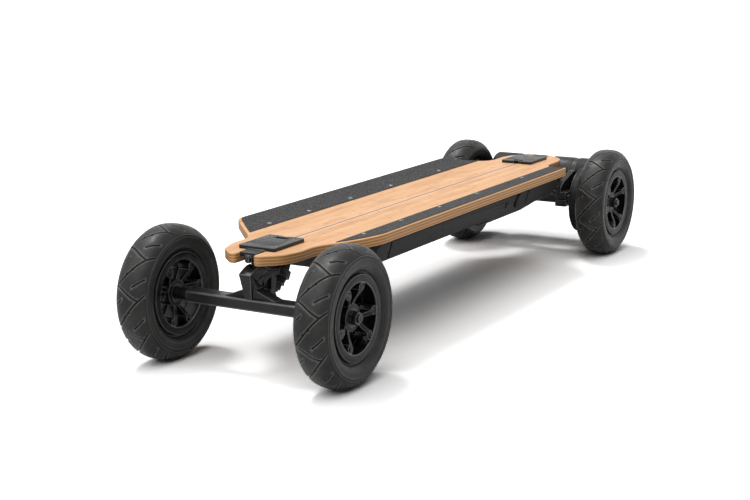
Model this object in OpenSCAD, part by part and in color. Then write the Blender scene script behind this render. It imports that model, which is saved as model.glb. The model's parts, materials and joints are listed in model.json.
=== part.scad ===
// Four-wheel electric mountainboard with pneumatic tyres, leaning trucks and two belt-driven rear wheels.
// Millimetres. X runs across the board, Y from nose (-Y) to tail (+Y), Z up from the ground.

/* [Deck] */
// Length of the deck from nose tip to tail tip
deck_len = 901; // [895:1:930]
// Length of the deck ahead of the point halfway between the axles
nose_len = 445; // [440:1:460]
// Half width of the deck at the foot wings
wing_half = 112; // [110:1:114]
// Half width of the neck between the wheels
neck_half = 52; // [48:1:54]
// Thickness of the bamboo lay-up
deck_t = 13; // [11:0.5:14]
// Height of the flat middle of the deck's top above the ground
deck_top_z = 153; // [151:0.5:156]
// How far the wing edges rise above the flat middle
concave_rise = 9.5; // [6:0.5:11]
// Half width of the flat bare strip between the grip sheets
bare_half = 65; // [60:1:68]
// Half length of the wings, measured at their full width
wing_half_len = 292; // [286:1:296]
// Width of the open slot in the nose and in the tail
slot_w = 26; // [26:0.5:28]
// Thickness of the grip sheet
grip_t = 0.9; // [0.6:0.1:1.2]
// Bare margin between the grip sheet and the deck's edge
grip_margin = 3.2; // [2:0.2:5]

/* [Wheels] */
// Distance between the front and the rear axle
wheelbase = 851.6; // [848:0.2:860]
// Distance between the centres of the left and the right tyre
track = 259.6; // [259:0.2:264]
// Radius of the inflated tyre
tyre_r = 87.5; // [86:0.5:90]
// Width of the inflated tyre
tyre_w = 48.6; // [47:0.2:49]
// Wall of the tyre
tyre_wall = 5.5; // [5:0.5:7]
// Radius of the rim's barrel, where the tyre's bead sits
barrel_r = 50; // [49.5:0.25:50.5]
// Height of the rim's flange above its barrel
flange_lip = 3.5; // [3:0.25:4]
// Width of the hub over its two faces
hub_w = 40.4; // [39.6:0.4:41.2]
// Radius of the six-bolt circle
bolt_circle_r = 38.5; // [38:0.25:39]
// Half of the angle between the two spokes of a pair
pair_half = 23.6; // [23:0.2:25]
// Radius of the wheel axle
axle_r = 5; // [4:0.5:5]
// Outer radius of the wheel bearings
bearing_r = 11; // [11:0.5:12]
// Width of a wheel bearing
bearing_w = 6; // [5:0.5:7]

/* [Trucks] */
// Depth of the rectangular axle bar, along the board
bar_depth = 24; // [22:0.5:26]
// Height of the rectangular axle bar
bar_height = 15; // [14:0.5:16]
// Half length of the front axle bar
front_bar_half = 95; // [90:1:98]
// Half length of the rear axle bar
rear_bar_half = 84; // [82:0.5:84]
// Angle of the steering axis above the horizontal
steer_angle = 23; // [22:0.5:24]
// Lean of the kingpin from the vertical
kingpin_tilt = 29; // [27:0.5:30]
// Distance of the kingpin ring from the axle, towards the middle of the board
ring_dy = 56.3; // [55.5:0.1:57]
// Height of the kingpin ring above the ground
ring_z = 114.5; // [114:0.25:115]
// Outer radius of the kingpin ring
ring_r = 15; // [14.5:0.25:15.5]
// Radius of the kingpin
kingpin_r = 5; // [4.5:0.25:5]
// Width of the truck's top plate across the board
plate_w = 53; // [51:1:55]
// Length of the truck's top plate along the board
plate_len = 69; // [67:1:70]
// Thickness of the truck's top plate above the deck
plate_t = 5; // [4:0.25:6]
// Depth of the routed seat under the top plate
plate_seat = 0.5; // [0.3:0.1:1]

/* [Drive] */
// Teeth of the pulley on each rear wheel
drive_teeth = 64; // [60:4:64]
// Teeth of the pulley on each motor
motor_teeth = 16; // [16:4:20]
// Teeth of the belt
belt_teeth = 74; // [74:1:76]
// Pitch of the belt's teeth
tooth_pitch = 5; // [5:0.01:5.02]
// Width of the belt
belt_w = 12; // [9:1:12]
// Angle of the line from the wheel axle to the motor shaft, above the horizontal
motor_rise = 21.2; // [19:0.2:23]
// Radius of the motor's can and of the belt guard
motor_r = 32; // [30:0.5:32]
// Length of the motor's can
motor_len = 40; // [34:1:42]
// Radius of the motor cables
cable_r = 4; // [3:0.25:4.5]

/* [Enclosure] */
// Half width of the enclosure where it meets the deck
enc_half = 102; // [100:0.5:103]
// Drop of the enclosure's side walls
enc_side_drop = 27; // [25:0.5:28]
// Lean of the side walls from the vertical
enc_wall_tilt = 19.5; // [17:0.5:21]
// Height of the enclosure's flat bottom above the ground
enc_bottom_z = 111; // [109:0.5:113]
// Extra depth of the controller bay at the rear
bay_drop = 5; // [3:0.5:6]
// Wall of the enclosure
enc_wall = 3; // [2:0.25:3.5]
// Thickness of the foam gasket between deck and enclosure
gasket_t = 1.6; // [1:0.1:2]

/* [Hidden] */
$fn = 64;

bamboo = [0.87, 0.68, 0.48];
grip_grey = [0.26, 0.26, 0.27];
plastic_black = [0.13, 0.13, 0.13];
metal_black = [0.17, 0.17, 0.18];
tyre_black = [0.15, 0.15, 0.15];
steel = [0.62, 0.62, 0.64];
urethane = [0.09, 0.09, 0.09];

// Clearances
motor_room = 4;
run_gap = 0.05;
free_gap = 0.3;
seat_gap = 0.05;

// Belt geometry: pitch line above the pulley's tips, tooth depth and back of the belt
pitch_above_tip = 0.57;
tooth_depth = 2.0;
belt_back = 1.17;
drive_pitch_r = drive_teeth * tooth_pitch / (2 * PI);
motor_pitch_r = motor_teeth * tooth_pitch / (2 * PI);
pitch_drop = drive_pitch_r - motor_pitch_r;
function wrap_tilt(c) = asin(pitch_drop / c);
function belt_length(c) =
    2 * c * cos(wrap_tilt(c)) + PI * (drive_pitch_r + motor_pitch_r) + wrap_tilt(c) * PI / 90 * pitch_drop;
function solve_centre(low, high, steps) =
    steps == 0 ? (low + high) / 2
    : belt_length((low + high) / 2) < belt_teeth * tooth_pitch ? solve_centre((low + high) / 2, high, steps - 1)
    : solve_centre(low, (low + high) / 2, steps - 1);
drive_centre = solve_centre(pitch_drop * 1.2, 150, 40);
motor_dy = drive_centre * cos(motor_rise);
motor_dz = drive_centre * sin(motor_rise);

// Places along the board: the origin is the middle of the whole length
total_len = tyre_r + wheelbase + motor_dy + motor_r;
axle_front_y = -total_len / 2 + tyre_r;
axle_rear_y = axle_front_y + wheelbase;
board_mid_y = (axle_front_y + axle_rear_y) / 2;
axle_z = tyre_r;
wheel_x = track / 2;
hub_half_w = hub_w / 2;
flange_r = barrel_r + flange_lip;
drive_inner_x = 85.5;
belt_x = 87.5;

// Local axes: plane_x draws in the Y-Z plane and extrudes along +X
module plane_x(x = 0) translate([x, 0, 0]) rotate([90, 0, 90]) children();
module both_sides() {
    children();
    mirror([1, 0, 0]) children();
}
module six_bolts(phase, radius) {
    for (pair = [0:2]) for (side = [-1, 1])
        rotate(phase + pair * 120 + side * pair_half) translate([radius, 0]) children();
}
module tube_ring(r_out, r_in, h) {
    difference() {
        cylinder(r = r_out, h = h);
        translate([0, 0, -1]) cylinder(r = r_in, h = h + 2);
    }
}

// Deck: plan outline with rounded corners, cut from a lay-up that rises towards its edges
function corner_arc(a, b, c, r, steps = 8) =
    let (
        u = (a - b) / norm(a - b),
        v = (c - b) / norm(c - b),
        half = acos(u * v) / 2,
        reach = r / tan(half),
        centre = b + (u + v) / norm(u + v) * r / sin(half),
        p0 = b + u * reach - centre,
        p1 = b + v * reach - centre,
        a0 = atan2(p0.y, p0.x),
        turn = atan2(p0.x * p1.y - p0.y * p1.x, p0 * p1)
    )
    [for (i = [0:steps]) centre + r * [cos(a0 + turn * i / steps), sin(a0 + turn * i / steps)]];
function rounded(points, radii) =
    let (n = len(points))
    [for (i = [0:n - 1]) each
        radii[i] == 0 ? [points[i]]
        : corner_arc(points[(i + n - 1) % n], points[i], points[(i + 1) % n], radii[i])];

plate_from_axle = 42.5;
plate_corner_r = 2;
slot_from_mid = wheelbase / 2 - plate_from_axle - plate_len / 2 + 3;
neck_end = wing_half_len + 64;
// tip_len: from the board's middle to the end of the nose or of the tail
function deck_quarter(inset, tip_len) = rounded(
    [
        [0, -slot_from_mid], [slot_w / 2, -slot_from_mid], [slot_w / 2, -tip_len + inset],
        [neck_half - 30, -tip_len + inset], [neck_half - 8 - inset * 0.7, -tip_len + 21 + inset * 0.7],
        [neck_half - inset, -tip_len + 48],
        [neck_half - inset, -neck_end + inset],
        [wing_half - inset, -wing_half_len - 6 + inset],
        [wing_half - inset, 0],
    ],
    [0, 2, 4, 10, 30, 40, 40, 20, 0]
);
function reversed(points) = [for (i = [len(points) - 1:-1:0]) points[i]];
module deck_outline(inset = 0) {
    // one quarter each for nose and tail, mirrored: slot, tip, neck, diagonal and wing
    nose = deck_quarter(inset, nose_len);
    tail = deck_quarter(inset, deck_len - nose_len);
    polygon(concat(
        nose, reversed([for (p = tail) [p.x, -p.y]]),
        [for (p = tail) [-p.x, -p.y]], reversed([for (p = nose) [-p.x, p.y]])
    ));
}
concave_flat = 40;
concave_step = 6;
function concave_curve(x) =
    concave_rise * pow(max(0, abs(x) - concave_flat) / (wing_half - concave_flat), 2);
// straight between the curve's points, so that all pieces that follow it meet
function concave(x) = let (i = floor(x / concave_step), t = x / concave_step - i)
    concave_curve(i * concave_step) * (1 - t) + concave_curve((i + 1) * concave_step) * t;
module concave_band(top, bottom) {
    // a sheet that follows the concave, from offset "bottom" to offset "top" below the deck's top
    xs = [for (i = [-20:20]) i * concave_step];
    rotate([90, 0, 0]) linear_extrude(1100, center = true)
        polygon(concat(
            [for (x = xs) [x, deck_top_z + concave(x) + top]],
            [for (i = [len(xs) - 1:-1:0]) [xs[i], deck_top_z + concave(xs[i]) + bottom]]
        ));
}

// Truck bolts and enclosure screws, as places in plan
truck_bolt_x = 19.5;
truck_bolt_y = 24.5;
truck_bolt_r = 2.5;
enc_screw_x = 73;
enc_screw_ys = [-280, -181, -69, 51, 210];
enc_screw_r = 2;
enc_screw_head_r = 3.6;
module at_truck_bolts(hole_y) {
    for (sx = [-1, 1]) for (sy = [-1, 1])
        translate([sx * truck_bolt_x, hole_y + sy * truck_bolt_y, 0]) children();
}
module at_enc_screws() {
    for (sx = [-1, 1]) for (y = enc_screw_ys)
        translate([sx * enc_screw_x, board_mid_y + y, deck_top_z + concave(enc_screw_x)]) children();
}
front_plate_y = axle_front_y + plate_from_axle;
rear_plate_y = axle_rear_y - plate_from_axle;
module plate_outline(grow) {
    w = plate_w / 2 + grow;
    l = plate_len / 2 + grow;
    r = plate_corner_r + grow;
    polygon(rounded([[-w, -l], [w, -l], [w, l], [-w, l]], [r, r, r, r]));
}

module deck() {
    color(bamboo) difference() {
        intersection() {
            concave_band(0, -deck_t);
            translate([0, board_mid_y, 0]) linear_extrude(300) deck_outline();
        }
        for (y = [front_plate_y, rear_plate_y]) {
            translate([0, y, deck_top_z - plate_seat]) linear_extrude(20) plate_outline(free_gap);
            at_truck_bolts(y) cylinder(r = truck_bolt_r + free_gap, h = 300);
        }
        // room for the motor cans behind the tail
        drive(true) translate([drive_centre, 0, -2 * wheel_x])
            cylinder(r = motor_r + motor_room, h = 4 * wheel_x);
        at_enc_screws() translate([0, 0, -50]) cylinder(r = enc_screw_r + free_gap, h = 100);
        at_enc_screws() translate([0, 0, -1]) cylinder(r = enc_screw_head_r + free_gap, h = 20);
    }
}

module grip_tape() {
    color(grip_grey) difference() {
        intersection() {
            concave_band(grip_t, 0);
            translate([0, board_mid_y, 0]) linear_extrude(300) deck_outline(grip_margin);
        }
        translate([-bare_half, -600, 0]) cube([2 * bare_half, 1200, 300]);
        at_enc_screws() translate([0, 0, -50]) cylinder(r = enc_screw_head_r + free_gap, h = 100);
    }
}

// Enclosure: a shell under the deck whose cross-section follows the concave, with sloping ends and a deeper bay
enc_top_gap = deck_t + gasket_t;
enc_wall_top_z = deck_top_z + concave(enc_half) - enc_top_gap;
enc_low_x = enc_half - enc_side_drop * tan(enc_wall_tilt);
enc_low_z = enc_wall_top_z - enc_side_drop;
enc_bottom_half = 72;
enc_front_y = -330;
enc_rear_y = 300;
bay_ys = [38, 56, 166, 220];
enc_inset = 9;
module enc_plan(inset) {
    intersection() {
        translate([0, board_mid_y]) deck_outline(enc_inset + inset);
        translate([-150, board_mid_y + enc_front_y + inset])
            square([300, enc_rear_y - enc_front_y - 2 * inset]);
    }
}
function enc_low_corners(drop, shrink) = [
    [enc_low_x - shrink, enc_low_z - drop * 0.9 + shrink * 0.6],
    [enc_bottom_half - shrink * 0.4, enc_bottom_z - drop + shrink]
];
module enc_section(shrink) {
    // outer cross-section, shrunk inwards by the wall for the hollow
    half = enc_half - shrink;
    steps = ceil(half / concave_step) - 1;
    xs = concat([-half], [for (i = [-steps:steps]) i * concave_step], [half]);
    low = enc_low_corners(0, shrink);
    polygon(concat(
        [for (x = xs) [x, deck_top_z + concave(x) - enc_top_gap - (shrink > 0 ? 4 : 0)]],
        low, [for (p = reversed(low)) [-p.x, p.y]]
    ));
}
module bay_slice(y, drop, shrink) {
    // lower part of the cross-section, deeper by the drop, as a thin slice
    top_z = 128;
    low = enc_low_corners(drop, shrink);
    top_x = enc_half - (enc_wall_top_z - top_z) * tan(enc_wall_tilt) - shrink;
    translate([0, board_mid_y + y, 0]) rotate([90, 0, 0]) linear_extrude(0.1)
        polygon(concat([[top_x, top_z]], low, [for (p = reversed(low)) [-p.x, p.y]], [[-top_x, top_z]]));
}
module enc_shape(shrink) {
    top_z = deck_top_z + 20;
    low_z = enc_bottom_z + shrink;
    rise = deck_top_z - enc_top_gap - low_z;
    intersection() {
        translate([0, board_mid_y, 0]) rotate([90, 0, 0])
            linear_extrude(900, center = true) enc_section(shrink);
        translate([0, 0, 90]) linear_extrude(100) enc_plan(shrink);
        plane_x(-150) linear_extrude(300) translate([board_mid_y, 0]) polygon([
            [enc_front_y + shrink, top_z], [enc_front_y + shrink, low_z + rise],
            [enc_front_y + 18 + shrink, low_z], [enc_rear_y - 34 - shrink, low_z],
            [enc_rear_y - shrink, low_z + rise], [enc_rear_y - shrink, top_z],
        ]);
    }
    // controller bay, in three stretches: down, level and back up
    for (i = [0:2]) hull() {
        bay_slice(bay_ys[i] + (i == 0 ? shrink : 0), i == 0 ? 0 : bay_drop, shrink);
        bay_slice(bay_ys[i + 1] - (i == 2 ? shrink : 0), i == 2 ? 0 : bay_drop, shrink);
    }
}

// Side-wall axes: local X runs down the left wall, local Y along the board and local Z out of the wall
module on_left_wall(y, down) {
    translate([enc_half, board_mid_y + y, enc_wall_top_z]) rotate([0, 90 + enc_wall_tilt, 0])
        translate([down, 0, 0]) children();
}
port_y = 141;
port_down = 14;
socket_r = 7;
plug_r = 5.4;
cap_half = 7.5;
cap_long = 3;
cap_t = 2.4;
button_y = 103;
button_down = 15;
button_r = 4.2;
module stadium(r, along) {
    // long side down the wall
    translate([-along, 0]) circle(r);
    translate([along, 0]) circle(r);
    translate([-along, -r]) square([2 * along, 2 * r]);
}
insert_depth = 8;
flange_w = 8;

module enclosure() {
    color(plastic_black) difference() {
        enc_shape(0);
        difference() {
            union() {
                enc_shape(enc_wall);
                // open top inside the flange
                translate([0, 0, enc_wall_top_z - 16]) linear_extrude(60) enc_plan(flange_w);
            }
            at_enc_screws() translate([0, 0, -80]) cylinder(r = 5, h = 100);
        }
        at_enc_screws() translate([0, 0, -enc_top_gap - insert_depth])
            cylinder(r = enc_screw_r + run_gap, h = 40);
        on_left_wall(port_y, port_down) {
            translate([0, 0, -16]) cylinder(r = socket_r + 0.15, h = 20);
            translate([0, 0, -0.9]) linear_extrude(4) stadium(cap_half + free_gap, cap_long);
        }
        on_left_wall(button_y, button_down) translate([0, 0, -8])
            cylinder(r = button_r + free_gap, h = 16);
        // joint lines of the end covers
        for (y = [-256, 176]) on_left_wall(y, enc_side_drop / 2) rotate([0, 0, 8])
            translate([-enc_side_drop / 2 + 1, -0.5, -0.8]) cube([enc_side_drop - 2, 1, 3]);
        // cable exits at the rear
        both_sides() translate([cable_x, board_mid_y + enc_rear_y - 40, cable_exit_z]) rotate([-90, 0, 0])
            cylinder(r = cable_r + free_gap, h = 80);
    }
}

module enclosure_gasket() {
    color(urethane) intersection() {
        concave_band(-deck_t, -enc_top_gap);
        difference() {
            translate([0, 0, 50]) linear_extrude(200) union() {
                difference() {
                    enc_plan(0);
                    enc_plan(flange_w);
                }
                for (sx = [-1, 1]) for (y = enc_screw_ys)
                    translate([sx * enc_screw_x, board_mid_y + y]) circle(5);
            }
            at_enc_screws() translate([0, 0, -60]) cylinder(r = enc_screw_r + free_gap, h = 100);
        }
    }
}

module enclosure_screws() {
    color(steel) at_enc_screws() {
        translate([0, 0, -enc_top_gap - insert_depth + 1])
            cylinder(r = enc_screw_r, h = enc_top_gap + insert_depth - 1.5);
        difference() {
            translate([0, 0, -0.9]) cylinder(r = enc_screw_head_r, h = 1.8 + grip_t);
            translate([0, 0, grip_t]) cylinder(r = 1.5, h = 3, $fn = 6);
        }
    }
}

cell_r = 9.1;
cell_len = 65;
cell_rows = 15;
battery_y = -292;
battery_z = enc_bottom_z + enc_wall + free_gap + cell_r;
module battery_pack() {
    pitch = 2 * cell_r + 0.3;
    color([0.16, 0.3, 0.55]) {
        both_sides() for (i = [0:cell_rows - 1])
            translate([1.5, board_mid_y + battery_y + 12 + i * pitch, battery_z]) rotate([0, 90, 0])
                cylinder(r = cell_r, h = cell_len);
        translate([-cell_len - 1.5, board_mid_y + battery_y + 12, battery_z - 2])
            cube([2 * cell_len + 3, (cell_rows - 1) * pitch, 4]);
    }
}

controller_y = 52;
controller_len = 120;
controller_z = enc_bottom_z - bay_drop + enc_wall + free_gap + 3;
module speed_controller() {
    fins = 12;
    color([0.55, 0.56, 0.58]) translate([-50, board_mid_y + controller_y, controller_z]) {
        cube([100, controller_len, 14]);
        for (i = [0:fins - 1]) translate([4 + i * 8, 6, -3]) cube([3, controller_len - 12, 3.1]);
        for (i = [0:3]) translate([20 + i * 20, controller_len - 24, 13.9]) cylinder(r = 7, h = 7);
    }
}

module charge_socket() {
    color(metal_black) on_left_wall(port_y, port_down) translate([0, 0, -enc_wall - 12]) difference() {
        cylinder(r = socket_r, h = enc_wall + 11);
        translate([0, 0, 4]) cylinder(r = plug_r, h = 30);
    }
}

module charge_cap() {
    color(urethane) on_left_wall(port_y, port_down) {
        translate([0, 0, -0.55]) linear_extrude(cap_t) stadium(cap_half, cap_long);
        translate([cap_long + 2, 0, cap_t - 0.6]) linear_extrude(0.8) stadium(3, 1);
    }
}

module power_button() {
    color(plastic_black) on_left_wall(button_y, button_down) {
        translate([0, 0, -3.6]) cylinder(r = button_r, h = 4.6);
        translate([0, 0, -5.6]) cylinder(r = button_r - 1.5, h = 2.1);
    }
}

// Trucks: drawn for the front axle with the nose at -Y, turned half a turn for the rear
module truck(front) {
    if (front) translate([0, axle_front_y, 0]) children();
    else translate([0, axle_rear_y, 0]) rotate([0, 0, 180]) children();
}
module at_ring() translate([0, ring_dy, ring_z]) rotate([-kingpin_tilt, 0, 0]) children();
// local Z points up the steering axis, towards the nose
module at_steer_axis() translate([0, ring_dy, ring_z]) rotate([90 - steer_angle, 0, 0]) children();
bushing_top_h = 10.5;
bushing_low_h = 7.5;
ring_h = 10;
washer_t = 1.5;
kingpin_boss_from = ring_h / 2 + bushing_top_h + washer_t;
kingpin_head_at = 27;
nut_h = 7;
kingpin_end = -ring_h / 2 - bushing_low_h - washer_t - nut_h - 3;
pivot_from = 44;
pivot_to = 56;
pivot_cup_r = 4.6;
pivot_pin_r = 3.3;
pivot_house_r = 6;
boss_r = 12.3;
boss_h = 10;
window_from = 61;
window_to = 72;
slot_free = slot_w / 2 - 0.7;
body_end = wheelbase / 2 - slot_from_mid - 0.7;

module baseplate(front) {
    plate_y = plate_from_axle;
    color(metal_black) truck(front) difference() {
        union() {
            translate([0, plate_y, deck_top_z - plate_seat]) linear_extrude(plate_t + plate_seat)
                plate_outline(0);
            // body that fills the slot under the plate
            plane_x(-slot_free) linear_extrude(2 * slot_free) polygon([
                [-10, 147.5], [14, 146.5], [37, 141.5], [52, 134], [body_end, 131],
                [body_end, deck_top_z + 1], [-10, deck_top_z + 1], [-10, 152]
            ]);
            at_ring() translate([0, 0, kingpin_boss_from]) cylinder(r = boss_r, h = boss_h);
            at_steer_axis() translate([0, 0, pivot_from])
                cylinder(r = pivot_house_r, h = pivot_to - pivot_from);
            // web that carries the pivot housing
            plane_x(-5) linear_extrude(10) polygon([[1, 148], [3, 138], [16, 133], [21, 146]]);
            // hexagonal stud at the slot's open end
            translate([0, -8.5, 141]) cylinder(r = 4.4, h = 9, $fn = 6);
        }
        at_ring() {
            translate([0, 0, -5]) cylinder(r = 13.5, h = kingpin_boss_from + 5);
            cylinder(r = kingpin_r + run_gap, h = 60);
            translate([0, 0, kingpin_head_at - 5.2]) cylinder(r = 8.6, h = 14);
        }
        at_steer_axis() translate([0, 0, pivot_from - 1])
            cylinder(r = pivot_cup_r + seat_gap, h = pivot_to - pivot_from - 2);
        // clearance for the pivot pin's neck
        at_steer_axis() translate([0, 0, 0]) cylinder(r = 8, h = pivot_from);
        // window over the kingpin's head
        translate([-9, window_from, 141]) cube([18, window_to - window_from, 30]);
        at_truck_bolts(plate_from_axle) {
            translate([0, 0, deck_top_z - 1]) cylinder(r = truck_bolt_r + 0.2, h = 20);
            translate([0, 0, deck_top_z + plate_t - 2]) cylinder(r = 4.6, h = 10);
        }
    }
}

module baseplate_bolts(front) {
    color(metal_black) truck(front) at_truck_bolts(plate_from_axle) {
        difference() {
            union() {
                translate([0, 0, deck_top_z + plate_t - 2]) cylinder(r = 4.3, h = 1.7);
                translate([0, 0, deck_top_z - deck_t - 7]) cylinder(r = truck_bolt_r, h = deck_t + plate_t + 6);
            }
            translate([0, 0, deck_top_z + plate_t - 1.3]) cylinder(r = 1.5, h = 3, $fn = 6);
        }
        translate([0, 0, deck_top_z - deck_t - 5.2]) difference() {
            cylinder(r = 4.6, h = 4, $fn = 6);
            translate([0, 0, -1]) cylinder(r = truck_bolt_r + 0.02, h = 8);
        }
        translate([0, 0, deck_top_z - deck_t - 1.2]) tube_ring(5, truck_bolt_r + 0.02, 1.2);
    }
}

module kingpin(front) {
    color(steel) truck(front) at_ring() {
        translate([0, 0, kingpin_end]) cylinder(r = kingpin_r, h = kingpin_head_at - 5 - kingpin_end);
        translate([0, 0, kingpin_head_at - 5.1]) cylinder(r = 8.2, h = 5, $fn = 6);
    }
}

module kingpin_nut(front) {
    low = -ring_h / 2 - bushing_low_h;
    color(steel) truck(front) at_ring() {
        translate([0, 0, low - washer_t]) tube_ring(11, kingpin_r + 0.02, washer_t);
        translate([0, 0, low - washer_t - nut_h]) difference() {
            cylinder(r = 8.7, h = nut_h, $fn = 6);
            translate([0, 0, -1]) cylinder(r = kingpin_r + 0.02, h = nut_h + 2);
        }
        translate([0, 0, ring_h / 2 + bushing_top_h]) tube_ring(11.8, kingpin_r + 0.02, washer_t);
    }
}

module bushings(front) {
    color(urethane) truck(front) at_ring() difference() {
        union() {
            translate([0, 0, ring_h / 2]) rotate_extrude() polygon([
                [0, 0], [11.6, 0], [12, 1.5],
                [12, bushing_top_h - 1.5], [11.6, bushing_top_h], [0, bushing_top_h]
            ]);
            translate([0, 0, -ring_h / 2 - bushing_low_h]) rotate_extrude() polygon([
                [0, 0], [9.8, 0], [10.3, 1],
                [11.6, bushing_low_h - 1], [11.6, bushing_low_h], [0, bushing_low_h]
            ]);
        }
        translate([0, 0, -40]) cylinder(r = kingpin_r + 0.02, h = 80);
    }
}

module pivot_cup(front) {
    color(urethane) truck(front) at_steer_axis() translate([0, 0, pivot_from]) difference() {
        cylinder(r = pivot_cup_r, h = pivot_to - pivot_from - 3.2);
        translate([0, 0, -1]) cylinder(r = pivot_pin_r + run_gap, h = pivot_to - pivot_from - 4);
    }
}

bar_top_z = axle_z + bar_height / 2;
bar_low_z = axle_z - bar_height / 2;
module hanger(front) {
    post_front = -bar_depth / 2;
    color(metal_black) truck(front) difference() {
        union() {
            // front post, wider at the top and cut away around the pivot housing
            difference() {
                intersection() {
                    plane_x(-9) linear_extrude(18) polygon([
                        [post_front, bar_top_z], [-19, 127.5], [-9, 132.5], [-1.5, 135.5],
                        [5.3, 136], [12, 132.5], [20, 124], [13, 118], [9, 108], [9.5, bar_top_z]
                    ]);
                    rotate([90, 0, 0]) linear_extrude(120, center = true) polygon([
                        [-5, bar_top_z - 1], [5, bar_top_z - 1], [8.8, 128],
                        [8.8, 145], [-8.8, 145], [-8.8, 128]
                    ]);
                }
                at_steer_axis() translate([0, 0, pivot_from - 0.8]) cylinder(r = pivot_house_r + 0.7, h = 30);
            }
            at_steer_axis() translate([0, 0, 13.3]) cylinder(r = 7, h = pivot_from - 14.3);
            at_steer_axis() translate([0, 0, pivot_from - 10])
                cylinder(r = pivot_pin_r, h = 10 + pivot_to - pivot_from - 5.3);
            at_ring() translate([0, 0, -ring_h / 2]) cylinder(r = ring_r, h = ring_h);
            // yoke between post and ring
            plane_x(-8.5) linear_extrude(17) polygon([
                [8, 122], [16, 126], [32, 126], [45, 124.5], [47.7, 123.8], [43.9, 116.9],
                [39.5, 114], [34, 114.5], [27, 116.5], [19, 114], [13, 108]
            ]);
            // rear leg down to the back of the bar
            plane_x(-9) linear_extrude(18) polygon([
                [28, 117], [39.5, 116], [38, 108], [35.5, 101], [36, 95], [38, 91],
                [38, 85], [bar_depth / 2, 85], [bar_depth / 2, 92.5], [22, 94.5], [27, 100]
            ]);
            // ribs on the bar's top
            translate([0, 9, 0]) rotate([90, 0, 0]) linear_extrude(17)
                polygon([[-38, bar_top_z], [-9, bar_top_z + 11.5], [9, bar_top_z + 11.5], [38, bar_top_z]]);
        }
        at_ring() translate([0, 0, -ring_h]) cylinder(r = kingpin_r + 2.6, h = 2 * ring_h);
        // pockets in the ribs
        both_sides() translate([0, 6, 0]) rotate([90, 0, 0]) linear_extrude(11)
            polygon([[12, bar_top_z + 1.8], [12, bar_top_z + 7.5], [28, bar_top_z + 1.8]]);
    }
}

module axle_bar(front) {
    half = front ? front_bar_half : rear_bar_half;
    hy = bar_depth / 2;
    hz = bar_height / 2;
    bevel = 1.4;
    color(metal_black) truck(front) {
        plane_x(-half) linear_extrude(2 * half) polygon([
            [-hy + bevel, axle_z - hz], [hy - bevel, axle_z - hz],
            [hy, axle_z - hz + bevel], [hy, axle_z + hz - bevel],
            [hy - bevel, axle_z + hz], [-hy + bevel, axle_z + hz],
            [-hy, axle_z + hz - bevel], [-hy, axle_z - hz + bevel]
        ]);
        plane_x(-wheel_x - hub_half_w - 3) translate([0, axle_z])
            cylinder(r = axle_r, h = 2 * (wheel_x + hub_half_w + 3));
    }
}

boss_half = 12;
nut_t = 7;
module axle_nuts(front) {
    half = front ? front_bar_half : rear_bar_half;
    inner_face = wheel_x - boss_half;
    color(steel) truck(front) both_sides() translate([0, 0, axle_z]) {
        translate([half, 0, 0]) rotate([0, 90, 0]) tube_ring(axle_r + 2.4, axle_r + 0.02, inner_face - half);
        translate([wheel_x - boss_half + bearing_w, 0, 0]) rotate([0, 90, 0])
            tube_ring(axle_r + 2.4, axle_r + 0.02, 2 * (boss_half - bearing_w));
        translate([wheel_x + boss_half, 0, 0]) rotate([0, 90, 0]) tube_ring(8.2, axle_r + 0.02, 1);
        translate([wheel_x + boss_half + 1, 0, 0]) rotate([0, 90, 0]) difference() {
            cylinder(r = 8.6, h = nut_t, $fn = 6);
            translate([0, 0, -1]) cylinder(r = axle_r + 0.02, h = nut_t + 2);
        }
    }
}

module bearings(front) {
    color(steel) truck(front) both_sides() for (x = [-boss_half, boss_half - bearing_w])
        translate([wheel_x + x, 0, axle_z]) rotate([0, 90, 0]) rotate_extrude() polygon([
            [axle_r + 0.02, 0], [axle_r + 1.8, 0], [axle_r + 1.8, 0.4],
            [bearing_r - 1.3, 0.4], [bearing_r - 1.3, 0], [bearing_r, 0],
            [bearing_r, bearing_w], [bearing_r - 1.3, bearing_w], [bearing_r - 1.3, bearing_w - 0.4],
            [axle_r + 1.8, bearing_w - 0.4], [axle_r + 1.8, bearing_w], [axle_r + 0.02, bearing_w]
        ]);
}

// Wheels: drawn around the axle's line, with local Z pointing out of the board
module wheel(front, left) {
    mirror([left ? 0 : 1, 0, 0]) translate([wheel_x, front ? axle_front_y : axle_rear_y, axle_z])
        rotate([90, 0, 90]) children();
}
function wheel_phase(front, left) = front ? (left ? 99 : 29) : (left ? 46 : 12);

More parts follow.
